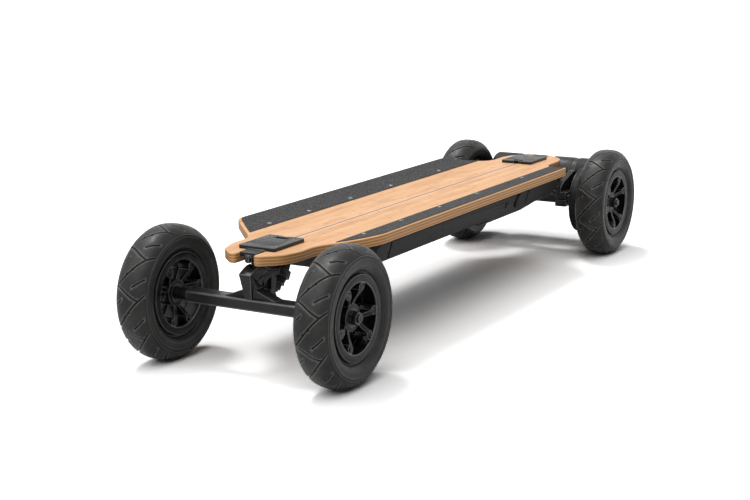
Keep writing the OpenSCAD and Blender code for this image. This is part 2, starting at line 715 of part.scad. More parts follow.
bead_gap = 0.25;
module tyre(front, left) {
    hw = tyre_w / 2;
    r = tyre_r;
    outer = [
        [barrel_r + 6.2, hw - 6.6], [barrel_r + 8.2, hw - 3.6], [barrel_r + 11, hw - 1.6],
        [barrel_r + 12.2, hw - 0.9], [barrel_r + 14.8, hw - 0.7], [barrel_r + 15.8, hw - 0.1],
        [barrel_r + 21, hw], [r - 12.5, hw - 0.8], [r - 8.4, hw - 2.6], [r - 5.2, hw - 5],
        [r - 4.9, hw - 5.9], [r - 3.4, hw - 7], [r - 1.6, hw - 10.5], [r - 0.5, hw - 15],
    ];
    inner = [
        [r - tyre_wall, 0], [r - tyre_wall - 0.6, hw - 13], [r - tyre_wall - 4.5, hw - tyre_wall - 3],
        [r - tyre_wall - 10, hw - tyre_wall + 0.2], [barrel_r + 12, hw - tyre_wall - 1],
        [barrel_r + 6, hw - 11.5], [barrel_r + bead_gap, hw - 12.5],
    ];
    bead = [[barrel_r + 4, hw - 7.2], [barrel_r + bead_gap, hw - 9.3]];
    half = concat([[r, 0]], reversed(outer), bead);
    full = concat(
        half, reversed(inner),
        [for (i = [1:len(inner) - 1]) [inner[i].x, -inner[i].y]],
        [for (i = [len(half) - 1:-1:1]) [half[i].x, -half[i].y]]
    );
    color(tyre_black) wheel(front, left) rotate_extrude($fn = 96) polygon(full);
}

valve_from_phase = 202;
module at_valve(front, left) rotate(wheel_phase(front, left) + valve_from_phase)
    translate([barrel_r + 3, 0, 7.4]) rotate([0, -60, 0]) children();
module tube(front, left) {
    mid_r = (barrel_r + tyre_r - tyre_wall) / 2;
    color(urethane) wheel(front, left) {
        rotate_extrude($fn = 96) polygon([
            [barrel_r + 1, -9], [barrel_r + 7, -10.5], [mid_r, -15.5], [mid_r + 9, -14],
            [tyre_r - tyre_wall - 2.5, -8], [tyre_r - tyre_wall - 2.5, 8],
            [mid_r + 9, 14], [mid_r, 15.5], [barrel_r + 7, 10.5], [barrel_r + 1, 9],
        ]);
        at_valve(front, left) {
            cylinder(r = 2.8, h = 22);
            translate([0, 0, 14]) cylinder(r = 3.2, h = 9);
        }
    }
}

nut_recess = 9;
module hub_half() {
    // from the middle plane outwards
    face = hub_half_w;
    difference() {
        union() {
            rotate_extrude($fn = 96) polygon([
                [barrel_r - 6, 0], [barrel_r, 0], [barrel_r, face - 5], [flange_r - 0.4, face - 3],
                [flange_r, face - 2.4], [flange_r, face - 0.6], [flange_r - 0.6, face],
                [flange_r - 9.7, face], [flange_r - 10.5, face - 0.8], [flange_r - 10.5, face - 3]
            ]);
            cylinder(r = 17, h = boss_half);
            intersection() {
                union() {
                    six_bolts(0, bolt_circle_r) cylinder(r = 6, h = 30);
                    for (pair = [0:2]) for (side = [-1, 1]) linear_extrude(30) hub_spoke(pair * 120, side);
                }
                // dished envelope of the spokes
                rotate_extrude($fn = 96) polygon([
                    [0, 2], [barrel_r - 5, 1], [barrel_r - 5, face - 0.7], [bolt_circle_r - 6, face - 1.2],
                    [22, boss_half + 1.5], [16, boss_half - 0.6], [0, boss_half - 0.6]
                ]);
            }
        }
        translate([0, 0, -1]) cylinder(r = bearing_r - 2, h = 40);
        translate([0, 0, boss_half - bearing_w - 0.1]) cylinder(r = bearing_r + run_gap, h = 40);
        six_bolts(0, bolt_circle_r) {
            translate([0, 0, -1]) cylinder(r = 2.5 + 0.15, h = 40);
            translate([0, 0, face - nut_recess]) cylinder(r = 4.5, h = 20);
        }
    }
}
module hub_spoke(mid, side) {
    rotate(mid + side * 9) translate([14, 0]) circle(3.2);
    p0 = 15 * [cos(mid + side * 10), sin(mid + side * 10)];
    p1 = (barrel_r - 5) * [cos(mid + side * pair_half), sin(mid + side * pair_half)];
    dir = (p1 - p0) / norm(p1 - p0);
    n = [-dir.y, dir.x] * 2.4;
    polygon([p0 + n, p0 - n, p1 - n * 1.25, p1 + n * 1.25]);
}
module hub_outer(front, left) {
    color(plastic_black) wheel(front, left) difference() {
        rotate(wheel_phase(front, left)) hub_half();
        at_valve(front, left) cylinder(r = 3.5, h = 30);
    }
}
module hub_inner(front, left) {
    color(plastic_black) wheel(front, left) mirror([0, 0, 1]) rotate(wheel_phase(front, left)) hub_half();
}

module hub_bolts(front, left) {
    // driven wheels carry longer bolts that also hold the pulley
    head_at = front ? -hub_half_w + nut_recess : -wheel_x + drive_web_x;
    nut_at = hub_half_w - nut_recess;
    color(steel) wheel(front, left) rotate(wheel_phase(front, left)) six_bolts(0, bolt_circle_r) {
        translate([0, 0, head_at - 1]) cylinder(r = 2.5, h = nut_at - head_at + 5);
        translate([0, 0, head_at]) mirror([0, 0, 1]) rotate_extrude($fn = 24)
            polygon([[0, 0], [3.9, 0], [3.9, 2.2], [3.2, 4], [2, 5], [0, 5.4]]);
        translate([0, 0, nut_at]) difference() {
            cylinder(r = 3.9, h = 3.6, $fn = 6);
            translate([0, 0, -1]) cylinder(r = 2.52, h = 9);
        }
    }
}

// Belt drive: drawn around the rear axle's line like the wheels, with local X to the tail and local Z outwards.
// The belt's teeth follow the pitch line, one tooth per pitch, and each pulley's grooves sit under them.
drive_web_x = 94;
pulley_gap = 0.2;
wrap = wrap_tilt(drive_centre);
touch = 90 - wrap;
arc_drive = (360 - 2 * touch) * PI / 180 * drive_pitch_r;
arc_motor = 2 * touch * PI / 180 * motor_pitch_r;
span = drive_centre * cos(wrap);
// place and direction on the pitch line, from the upper end of the wheel pulley's arc
function pitch_frame(s) =
    s < arc_drive ? arc_frame([0, 0], drive_pitch_r, touch + s / drive_pitch_r * 180 / PI)
    : s < arc_drive + span ? span_frame([0, 0], drive_pitch_r, -touch, s - arc_drive)
    : s < arc_drive + span + arc_motor
        ? arc_frame(
            [drive_centre, 0], motor_pitch_r, -touch + (s - arc_drive - span) / motor_pitch_r * 180 / PI
        )
    : span_frame([drive_centre, 0], motor_pitch_r, touch, s - arc_drive - span - arc_motor);
function arc_frame(c, r, a) = [c + r * [cos(a), sin(a)], [cos(a), sin(a)]];
function span_frame(c, r, a, s) = [c + r * [cos(a), sin(a)] + s * [-sin(a), cos(a)], [cos(a), sin(a)]];
function off_pitch(s, depth) = let (f = pitch_frame((s + 1000 * belt_run) % belt_run)) f[0] - f[1] * depth;
belt_run = belt_teeth * tooth_pitch;
// the first tooth sits opposite the motor on the wheel pulley
first_tooth = arc_drive / 2;
motor_tooth = ceil((arc_drive + span - first_tooth) / tooth_pitch) * tooth_pitch + first_tooth;
motor_phase = -touch + (motor_tooth - arc_drive - span) / motor_pitch_r * 180 / PI;
tooth_shape = [[-0.24, 0], [-0.2, 1.1], [-0.1, 1.85], [0, 2], [0.1, 1.85], [0.2, 1.1], [0.24, 0]];
module belt_section() {
    difference() {
        polygon([for (i = [0:2 * belt_teeth - 1]) off_pitch(i * tooth_pitch / 2, -belt_back)]);
        polygon([for (i = [0:belt_teeth - 1]) for (p = tooth_shape)
            off_pitch(first_tooth + (i + p.x) * tooth_pitch, pitch_above_tip + p.y)]);
    }
}
module toothed(teeth, pitch_r, phase) {
    tip = pitch_r - pitch_above_tip - pulley_gap;
    root = tip - tooth_depth - pulley_gap;
    step = 360 / teeth;
    groove = [
        [-0.3, tip], [-0.26, root + 0.8], [-0.14, root], [0.14, root], [0.26, root + 0.8], [0.3, tip],
        [0.5, tip + 0.03]
    ];
    polygon([for (i = [0:teeth - 1]) for (p = groove)
        p.y * [cos(phase + (i + p.x) * step), sin(phase + (i + p.x) * step)]]);
}
module drive(left) wheel(false, left) translate([0, 0, -wheel_x]) rotate(motor_rise) children();

module drive_pulley(left) {
    rim = drive_pitch_r + 1.9;
    color(metal_black) drive(left) difference() {
        union() {
            translate([0, 0, drive_inner_x]) cylinder(r = rim, h = 1.5);
            translate([0, 0, drive_inner_x + 1.4]) linear_extrude(belt_w + 1.2)
                toothed(drive_teeth, drive_pitch_r, 180);
            translate([0, 0, belt_x + belt_w + 0.5]) cylinder(r = rim, h = 1.2);
            translate([0, 0, belt_x + belt_w + 1.6])
                cylinder(r = 50, h = wheel_x - hub_half_w - belt_x - belt_w - 1.7);
        }
        translate([0, 0, drive_inner_x - 1]) cylinder(r = 46.2, h = drive_web_x - drive_inner_x + 1);
        translate([0, 0, drive_inner_x]) cylinder(r = 31, h = 60);
        rotate(wheel_phase(false, left) - motor_rise) {
            six_bolts(0, bolt_circle_r) cylinder(r = 2.65, h = 200);
            for (a = [60, 180, 300]) rotate(a) translate([bolt_circle_r, 0, 0]) cylinder(r = 5, h = 200);
        }
    }
}

module belt(left) {
    color(urethane) drive(left) translate([0, 0, belt_x]) linear_extrude(belt_w) belt_section();
}

shaft_r = 4;
motor_in_x = 6;
mount_t = 10;
mount_x = motor_in_x + motor_len;
module rotor(left) {
    flange = motor_pitch_r + 1.8;
    color(steel) drive(left) translate([drive_centre, 0, 0]) {
        translate([0, 0, motor_in_x + 2]) cylinder(r = shaft_r, h = belt_x + belt_w - 0.5 - motor_in_x);
        translate([0, 0, motor_in_x + 6]) cylinder(r = motor_r - 6, h = motor_len - 12);
        translate([0, 0, belt_x - 1.5]) cylinder(r = flange, h = 1.2);
        translate([0, 0, belt_x - 0.4]) linear_extrude(belt_w + 0.8)
            toothed(motor_teeth, motor_pitch_r, motor_phase);
        translate([0, 0, belt_x + belt_w + 0.3]) cylinder(r = flange, h = 1.2);
    }
}

module motor_can(left) {
    drive(left) translate([drive_centre, 0, motor_in_x]) difference() {
        rotate_extrude($fn = 96) polygon([
            [0, 0.6], [9, 0.6], [9, 0], [motor_r - 2.5, 0], [motor_r, 2.5], [motor_r, motor_len], [0, motor_len]
        ]);
        translate([0, 0, 4]) cylinder(r = motor_r - 3.5, h = motor_len - 8);
        translate([0, 0, 1.8]) cylinder(r = shaft_r + run_gap, h = motor_len);
    }
}
module motor_housings() {
    color(metal_black) for (left = [true, false]) difference() {
        motor_can(left);
        mirror([left ? 0 : 1, 0, 0]) cable_bore();
    }
}

module motor_mount() {
    difference() {
        union() {
            linear_extrude(mount_t) polygon(rounded([
                [-16.8, -12], [20.2, -12], [52, -4], [64, 0], [60, 46], [50, 43], [1.2, 29.5], [-16.8, 20.5]
            ], [4, 10, 0, 0, 0, 12, 12, 6]));
            translate([-16.8, -12, 0]) cube([34, 24, 20]);
            translate([motor_dy, motor_dz, 0]) cylinder(r = motor_r - 1, h = mount_t);
        }
        // clamp bore around the axle bar, with its slit and screws
        translate([-bar_depth / 2 - 0.1, -bar_height / 2 - 0.1, -1])
            cube([bar_depth + 0.2, bar_height + 0.2, 40]);
        translate([-20, -0.8, -1]) cube([10, 1.6, 40]);
        for (z = [5, 15]) translate([-14.4, 0, z]) rotate([-90, 0, 0]) translate([0, 0, -20])
            cylinder(r = 1.6, h = 60);
        translate([motor_dy, motor_dz, -1]) {
            cylinder(r = shaft_r + 4, h = 40);
            for (a = [45:90:315]) rotate(a) translate([17, 0, 0]) cylinder(r = 2, h = 40);
        }
        // slot window of the arm
        linear_extrude(80, center = true)
            polygon(rounded([[20, 4], [36, 9], [33, 24], [17, 19]], [3, 3, 3, 3]));
    }
}
module motor_mounts() {
    color(metal_black) for (left = [true, false])
        wheel(false, left) translate([0, 0, mount_x - wheel_x]) motor_mount();
}

guard_wall = 2;
guard_out_x = belt_x + belt_w + 4.1;
guard_in_x = mount_x + mount_t;
guard_edge = 7;
module belt_guard() {
    depth = guard_out_x - guard_in_x;
    round_r = motor_r - guard_edge;
    inner_r = motor_r - guard_wall;
    difference() {
        rotate_extrude($fn = 96) polygon(concat(
            [[0, 0], [motor_r, 0]],
            [for (a = [0:15:90]) [round_r + guard_edge * cos(a), depth - guard_edge + guard_edge * sin(a)]],
            [[0, depth]]
        ));
        translate([0, 0, guard_wall]) rotate_extrude($fn = 96) polygon([
            [0, 0], [inner_r, 0], [inner_r, depth - guard_edge - guard_wall],
            [inner_r - 2, depth - guard_wall - 3.5], [round_r, depth - 2 * guard_wall],
            [0, depth - 2 * guard_wall]
        ]);
        translate([-motor_dy, -motor_dz, -1]) cylinder(r = drive_pitch_r + 4.6, h = 100);
        translate([0, 0, -1]) cylinder(r = shaft_r + 5, h = 10);
        // way out for the belt
        rotate(180 + motor_rise) translate([0, -29, belt_x - 3 - guard_in_x])
            cube([60, 58, guard_out_x - guard_wall - belt_x + 3]);
    }
}
module belt_guards() {
    color(plastic_black) for (left = [true, false])
        wheel(false, left) translate([motor_dy, motor_dz, guard_in_x - wheel_x]) belt_guard();
}

// Motor cables: the route of the left one, as [along from the rear axle, height]
cable_x = 28;
cable_exit_z = 127;
cable_route = [
    [-160, 127], [-146, 127], [-130, 127], [-112, 125.5], [-94, 122.5], [-76, 120], [-58, 118.5], [-40, 118],
    [-22, 118.5], [-4, 118.5], [14, 117.5], [30, 116], [42, 116],
];
cable_sides = 10;
function route_point(i) = [cable_x, axle_rear_y + cable_route[i].x, cable_route[i].y];
function route_dir(i) =
    let (
        a = route_point(max(i - 1, 0)),
        b = route_point(min(i + 1, len(cable_route) - 1))
    )
    (b - a) / norm(b - a);
module cable() {
    n = len(cable_route);
    k = cable_sides;
    rings = [for (i = [0:n - 1])
        let (u = [1, 0, 0], v = cross(route_dir(i), u))
        for (a = [0:360 / k:359]) route_point(i) + cable_r * (cos(a) * u + sin(a) * v)];
    ends = [[for (j = [0:k - 1]) j], [for (j = [k - 1:-1:0]) (n - 1) * k + j]];
    sides = [for (i = [0:n - 2]) for (j = [0:k - 1])
        let (here = i * k, next = (i + 1) * k, j2 = (j + 1) % k)
        each [[here + j, next + j, next + j2], [here + j, next + j2, here + j2]]];
    polyhedron(points = rings, faces = concat(ends, sides));
}
module cable_bore() {
    end = len(cable_route) - 1;
    translate(route_point(end) + [0, -8, 0]) rotate([-90, 0, 0]) cylinder(r = cable_r + free_gap, h = 10);
}
module motor_cables() {
    color(urethane) both_sides() cable();
}

deck();
grip_tape();
enclosure();
enclosure_gasket();
enclosure_screws();
battery_pack();
speed_controller();
charge_socket();
charge_cap();
power_button();
motor_cables();
baseplate(true);  // front_baseplate
baseplate_bolts(true);  // front_baseplate_bolts
kingpin(true);  // front_kingpin
kingpin_nut(true);  // front_kingpin_nut
bushings(true);  // front_bushings
pivot_cup(true);  // front_pivot_cup
hanger(true);  // front_hanger
axle_bar(true);  // front_axle_bar
axle_nuts(true);  // front_axle_nuts
bearings(true);  // front_bearings
baseplate(false);  // rear_baseplate
baseplate_bolts(false);  // rear_baseplate_bolts
kingpin(false);  // rear_kingpin
kingpin_nut(false);  // rear_kingpin_nut
bushings(false);  // rear_bushings
pivot_cup(false);  // rear_pivot_cup
hanger(false);  // rear_hanger
axle_bar(false);  // rear_axle_bar
axle_nuts(false);  // rear_axle_nuts
bearings(false);  // rear_bearings
motor_mounts();
motor_housings();
rotor(true);  // rotor_left
rotor(false);  // rotor_right
drive_pulley(true);  // drive_pulley_left
drive_pulley(false);  // drive_pulley_right
belt(true);  // belt_left
belt(false);  // belt_right
belt_guards();
tyre(true, true);  // tyre_front_left
tube(true, true);  // tube_front_left
hub_outer(true, true);  // hub_outer_front_left
hub_inner(true, true);  // hub_inner_front_left
hub_bolts(true, true);  // hub_bolts_front_left
tyre(true, false);  // tyre_front_right
tube(true, false);  // tube_front_right
hub_outer(true, false);  // hub_outer_front_right
hub_inner(true, false);  // hub_inner_front_right
hub_bolts(true, false);  // hub_bolts_front_right
tyre(false, true);  // tyre_rear_left
tube(false, true);  // tube_rear_left
hub_outer(false, true);  // hub_outer_rear_left
hub_inner(false, true);  // hub_inner_rear_left
hub_bolts(false, true);  // hub_bolts_rear_left
tyre(false, false);  // tyre_rear_right
tube(false, false);  // tube_rear_right
hub_outer(false, false);  // hub_outer_rear_right
hub_inner(false, false);  // hub_inner_rear_right
hub_bolts(false, false);  // hub_bolts_rear_right
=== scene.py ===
import json
import math

import bmesh
import bpy
import numpy as np
from mathutils import Matrix, Vector
from mathutils.geometry import delaunay_2d_cdt


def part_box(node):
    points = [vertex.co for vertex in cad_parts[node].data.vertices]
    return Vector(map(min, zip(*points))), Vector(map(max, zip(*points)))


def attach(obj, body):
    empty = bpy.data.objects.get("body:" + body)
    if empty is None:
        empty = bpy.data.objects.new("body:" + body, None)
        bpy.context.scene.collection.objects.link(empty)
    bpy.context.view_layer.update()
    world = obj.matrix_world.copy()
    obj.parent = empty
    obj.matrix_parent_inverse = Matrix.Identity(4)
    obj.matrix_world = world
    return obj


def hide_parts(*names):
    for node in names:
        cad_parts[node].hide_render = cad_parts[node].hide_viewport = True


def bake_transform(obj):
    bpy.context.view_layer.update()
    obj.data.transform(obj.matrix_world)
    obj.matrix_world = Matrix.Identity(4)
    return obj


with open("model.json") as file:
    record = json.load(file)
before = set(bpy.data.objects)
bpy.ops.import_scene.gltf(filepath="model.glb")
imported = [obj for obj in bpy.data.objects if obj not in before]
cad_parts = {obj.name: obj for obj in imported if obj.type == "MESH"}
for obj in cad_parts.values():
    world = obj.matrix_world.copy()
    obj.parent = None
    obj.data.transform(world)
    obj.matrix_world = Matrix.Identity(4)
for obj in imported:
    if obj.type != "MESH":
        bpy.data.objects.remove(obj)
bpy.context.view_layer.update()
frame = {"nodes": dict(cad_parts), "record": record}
mm = 0.001
print("frame loaded with", len(frame["nodes"]), "nodes")

# Places that the construction gives, in metres
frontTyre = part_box("tyre_front_left")
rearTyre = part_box("tyre_rear_left")
frontAxleY = (frontTyre[0].y + frontTyre[1].y) / 2
rearAxleY = (rearTyre[0].y + rearTyre[1].y) / 2
tyreRadius = frontTyre[1].z / 2
wheelX = (frontTyre[0].x + frontTyre[1].x) / 2
boardMidY = (frontAxleY + rearAxleY) / 2
bodyOf = {node: body for body, nodes in frame["record"]["behaviour"]["bodies"].items() for node in nodes}
slotOf = {part["node"]: part["material_slot"] for part in frame["record"]["subparts"]}

# Camera of the picture: place in metres, turns in radians, lens and sensor in millimetres
camera = {
    "place": (1.00216, -1.879786, 0.53819), "yaw": 0.520755, "pitch": 0.215637, "roll": -0.0053306,
    "lens": 70.565, "sensor": 36, "farthest": 200,
}


def makeCamera(values):
    data = bpy.data.cameras.new("camera")
    data.lens = values["lens"]
    data.sensor_width = values["sensor"]
    data.clip_end = values["farthest"]
    made = link("camera", data)
    heading = Matrix.Rotation(values["yaw"], 4, "Z") @ Matrix.Rotation(math.pi / 2 - values["pitch"], 4, "X")
    heading = heading @ Matrix.Rotation(values["roll"], 4, "Z")
    made.matrix_world = Matrix.Translation(values["place"]) @ heading
    bpy.context.scene.camera = made


def link(name, data):
    made = bpy.data.objects.new(name, data)
    bpy.context.scene.collection.objects.link(made)
    return made


makeCamera(camera)


def meshFrom(name, points, faces):
    mesh = bpy.data.meshes.new(name)
    mesh.from_pydata([tuple(p) for p in points], [], faces)
    mesh.update()
    return mesh


def smoothShade(mesh, angle):
    mesh.shade_smooth()
    mesh.set_sharp_from_angle(angle=math.radians(angle))


def faceOutwards(mesh):
    # faces outward and no loose points; gives the number of edges that don't join two faces
    shape = bmesh.new()
    shape.from_mesh(mesh)
    bmesh.ops.recalc_face_normals(shape, faces=shape.faces)
    bmesh.ops.delete(shape, geom=[v for v in shape.verts if not v.link_faces], context="VERTS")
    openEdges = sum(len(e.link_faces) != 2 for e in shape.edges)
    shape.to_mesh(mesh)
    shape.free()
    return openEdges


def evaluated(made):
    # the mesh with its modifiers in it, so that none stays live
    graph = bpy.context.evaluated_depsgraph_get()
    graph.update()
    mesh = bpy.data.meshes.new_from_object(made.evaluated_get(graph), depsgraph=graph)
    made.modifiers.clear()
    made.data = mesh
    return mesh


def finishPiece(made, body, material, slotName, *nodes):
    # without a material the piece keeps the ones that it has
    if material:
        made.data.materials.clear()
        made.data.materials.append(material)
    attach(made, body)
    if nodes:
        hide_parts(*nodes)


# Motor cables, along the points that the construction gives: along from the rear axle, and height
cable = {
    "x": 28 * mm,
    "radius": 4 * mm,
    "sides": 16,
    "route": [
        (-160, 127), (-146, 127), (-130, 127), (-112, 125.5), (-94, 122.5), (-76, 120), (-58, 118.5),
        (-40, 118), (-22, 118.5), (-4, 118.5), (14, 117.5), (30, 116), (42, 116),
    ],
    "stepsPerSpan": 5,
    "smoothAngle": 50,
}


def smoothLine(points, steps):
    line = []
    for i in range(len(points) - 1):
        before = points[max(i - 1, 0)]
        here, after = points[i], points[i + 1]
        beyond = points[min(i + 2, len(points) - 1)]
        for k in range(steps):
            t = k / steps
            line.append(0.5 * (
                2 * here + (after - before) * t + (2 * before - 5 * here + 4 * after - beyond) * t * t
                + (3 * here - before - 3 * after + beyond) * t ** 3
            ))
    line.append(points[-1])
    return line


def directionAt(line, i):
    return (line[min(i + 1, len(line) - 1)] - line[max(i - 1, 0)]).normalized()


def ringFaces(rings, sides):
    # quads between rings of points that follow each other, with a cap under the first one
    faces = []
    for r in range(rings - 1):
        low, high = r * sides, (r + 1) * sides
        for i in range(sides):
            j = (i + 1) % sides
            faces.append((low + i, low + j, high + j, high + i))
    return faces + [tuple(range(sides))[::-1]]


def tubeAlong(name, line, radius, sides):
    points = []
    across = Vector((1, 0, 0))
    for i, here in enumerate(line):
        other = directionAt(line, i).cross(across)
        for j in range(sides):
            turn = 2 * math.pi * j / sides
            points.append(here + (across * math.cos(turn) + other * math.sin(turn)) * radius)
    farCap = tuple((len(line) - 1) * sides + j for j in range(sides))
    mesh = meshFrom(name, points, ringFaces(len(line), sides) + [farCap])
    faceOutwards(mesh)
    smoothShade(mesh, cable["smoothAngle"])
    return mesh


cablePieces = []
for side, label in ((1, "left"), (-1, "right")):
    stops = [Vector((side * cable["x"], rearAxleY + y * mm, z * mm)) for y, z in cable["route"]]
    line = smoothLine(stops, cable["stepsPerSpan"])
    mesh = tubeAlong("motorCable." + label, line, cable["radius"], cable["sides"])
    made = link("motorCable." + label, mesh)
    cablePieces.append((made, line))

# Shader groups that the materials share


def makeGroup(name, numbers, colours, outputs):
    group = bpy.data.node_groups.new(name, "ShaderNodeTree")
    for kind, labels in (("NodeSocketFloat", numbers), ("NodeSocketColor", colours)):
        for label in labels:
            group.interface.new_socket(label, in_out="INPUT", socket_type=kind)
    for label in outputs:
        kind = "NodeSocketColor" if label == "Colour" else "NodeSocketFloat"
        group.interface.new_socket(label, in_out="OUTPUT", socket_type=kind)
    return group, group.nodes.new("NodeGroupInput").outputs, group.nodes.new("NodeGroupOutput").inputs


def addNode(tree, kind, feeds=None, **settings):
    # feeds: for each input a value, or the socket that it comes from
    made = tree.nodes.new(kind)
    for key, value in settings.items():
        setattr(made, key, value)
    for key, value in (feeds or {}).items():
        socket = made.inputs[key]
        if isinstance(value, bpy.types.NodeSocket):
            tree.links.new(value, socket)
        else:
            socket.default_value = (*value, 1) if socket.type == "RGBA" and len(value) == 3 else value
    return made


def mathNode(tree, operation, *values, clamp=False):
    made = addNode(tree, "ShaderNodeMath", dict(enumerate(values)), operation=operation, use_clamp=clamp)
    return made.outputs[0]


def mixColour(tree, factor, a, b):
    return addNode(tree, "ShaderNodeMix", {0: factor, 6: a, 7: b}, data_type="RGBA").outputs[2]


def mapRange(tree, value, low, high, toLow=0.0, toHigh=1.0):
    feeds = {"Value": value, "From Min": low, "From Max": high, "To Min": toLow, "To Max": toHigh}
    return addNode(tree, "ShaderNodeMapRange", feeds).outputs["Result"]


def noise(tree, place, scale, detail, roughness=0.5):
    feeds = {"Vector": place, "Scale": scale, "Detail": detail, "Roughness": roughness}
    return addNode(tree, "ShaderNodeTexNoise", feeds).outputs["Fac"]


def objectPlace(tree):
    return addNode(tree, "ShaderNodeTexCoord").outputs["Object"]


groupLook = {
    "broadGrain": 0.16, "grainDetail": 2.0, "driftDetail": 4, "driftFrom": (0.35, 0.65), "speckScale": 1400,
    "speckDetail": 1, "patchScale": 160, "patchDetail": 3, "edgeFrom": (0.53, 0.62),
}


def grainGroup(look):
    # fine moulded or cast grain: two sizes of noise as one height
    group, given, put = makeGroup("surfaceGrain", ("Scale", "Coarse"), (), ("Height", "Mask"))
    place = objectPlace(group)
    fine = noise(group, place, given["Scale"], look["grainDetail"])
    broadScale = mathNode(group, "MULTIPLY", given["Scale"], look["broadGrain"])
    broad = noise(group, place, broadScale, look["grainDetail"])
    share = mathNode(group, "MULTIPLY", broad, given["Coarse"])
    group.links.new(mathNode(group, "ADD", fine, share), put["Height"])
    group.links.new(broad, put["Mask"])
    return group


def toneGroup(look):
    # slow drift between two colours, with a little speckle
    group, given, put = makeGroup("toneDrift", ("Scale", "Amount", "Speckle"), ("Main", "Other"), ("Colour",))
    place = objectPlace(group)
    drift = mapRange(group, noise(group, place, given["Scale"], look["driftDetail"]), *look["driftFrom"])
    factor = mathNode(group, "MULTIPLY", drift, given["Amount"])
    fast = noise(group, place, look["speckScale"], look["speckDetail"])
    speck = mathNode(group, "MULTIPLY", mathNode(group, "SUBTRACT", fast, 0.5), given["Speckle"])
    total = mathNode(group, "ADD", factor, speck, clamp=True)
    group.links.new(mixColour(group, total, given["Main"], given["Other"]), put["Colour"])
    return group


def wearAndGlintGroup(look):
    # lighter along edges, broken up by noise: edge wear and a painted highlight
    group, given, put = makeGroup("edgeWear", ("Amount",), ("Colour", "Worn"), ("Colour",))
    patchy = noise(group, objectPlace(group), look["patchScale"], look["patchDetail"])
    pointed = addNode(group, "ShaderNodeNewGeometry").outputs["Pointiness"]
    mask = mathNode(group, "MULTIPLY", mapRange(group, pointed, *look["edgeFrom"]), patchy)
    mask = mathNode(group, "MULTIPLY", mask, given["Amount"], clamp=True)
    group.links.new(mixColour(group, mask, given["Colour"], given["Worn"]), put["Colour"])
    return group


surfaceGrain, toneDrift, edgeWear = grainGroup(groupLook), toneGroup(groupLook), wearAndGlintGroup(groupLook)


def srgb(r, g, b):
    return tuple((v / 255 / 12.92) if v <= 10 else ((v / 255 + 0.055) / 1.055) ** 2.4 for v in (r, g, b))


def useGroup(tree, group, **feeds):
    return addNode(tree, "ShaderNodeGroup", feeds, node_tree=group).outputs


def grainOf(tree, look):
    return useGroup(tree, surfaceGrain, Scale=look["grainScale"], Coarse=look["coarse"])


def toneOf(tree, look):
    return useGroup(tree, toneDrift, Main=look["colour"], Other=look["other"], Scale=look["toneScale"],
                    Amount=look["toneAmount"], Speckle=look["speckle"])["Colour"]


def emptyTree(owner):
    owner.use_nodes = True
    owner.node_tree.nodes.clear()
    return owner.node_tree


def blankMaterial(name):
    made = bpy.data.materials.new(name)
    tree = emptyTree(made)
    shader = addNode(tree, "ShaderNodeBsdfPrincipled")
    addNode(tree, "ShaderNodeOutputMaterial", {"Surface": shader.outputs["BSDF"]})
    return made, tree, shader.inputs


def addBump(tree, skin, height, strength, distance):
    bump = addNode(tree, "ShaderNodeBump", {"Height": height, "Strength": strength, "Distance": distance})
    tree.links.new(bump.outputs["Normal"], skin["Normal"])


def plainFinish(name, given):
    # one finish of this board: tone, worn edges with a painted highlight, grain and an uneven gloss
    look = {**finishDefaults, **given}
    made, tree, skin = blankMaterial(name)
    tone = toneOf(tree, look)
    colour = useGroup(tree, edgeWear, Colour=tone, Worn=look["worn"], Amount=look["wear"])["Colour"]
    for label, tint, amount in look["marks"]:
        # places that the mesh marks by an attribute of its own: on the tyres, painted shade in the grooves
        # and painted highlights along groove edges and side-wall ridges
        mark = addNode(tree, "ShaderNodeAttribute", attribute_name=label).outputs["Fac"]
        colour = mixColour(tree, mathNode(tree, "MULTIPLY", mark, amount, clamp=True), colour, tint)
    tree.links.new(colour, skin["Base Color"])
    grain = grainOf(tree, look)
    gloss = mapRange(tree, grain["Mask"], *look["glossFrom"], *look["roughness"])
    tree.links.new(gloss, skin["Roughness"])
    skin["Metallic"].default_value = look["metallic"]
    skin["Specular IOR Level"].default_value = look["specular"]
    addBump(tree, skin, grain["Height"], look["grainStrength"], look["grainDepth"])
    return made


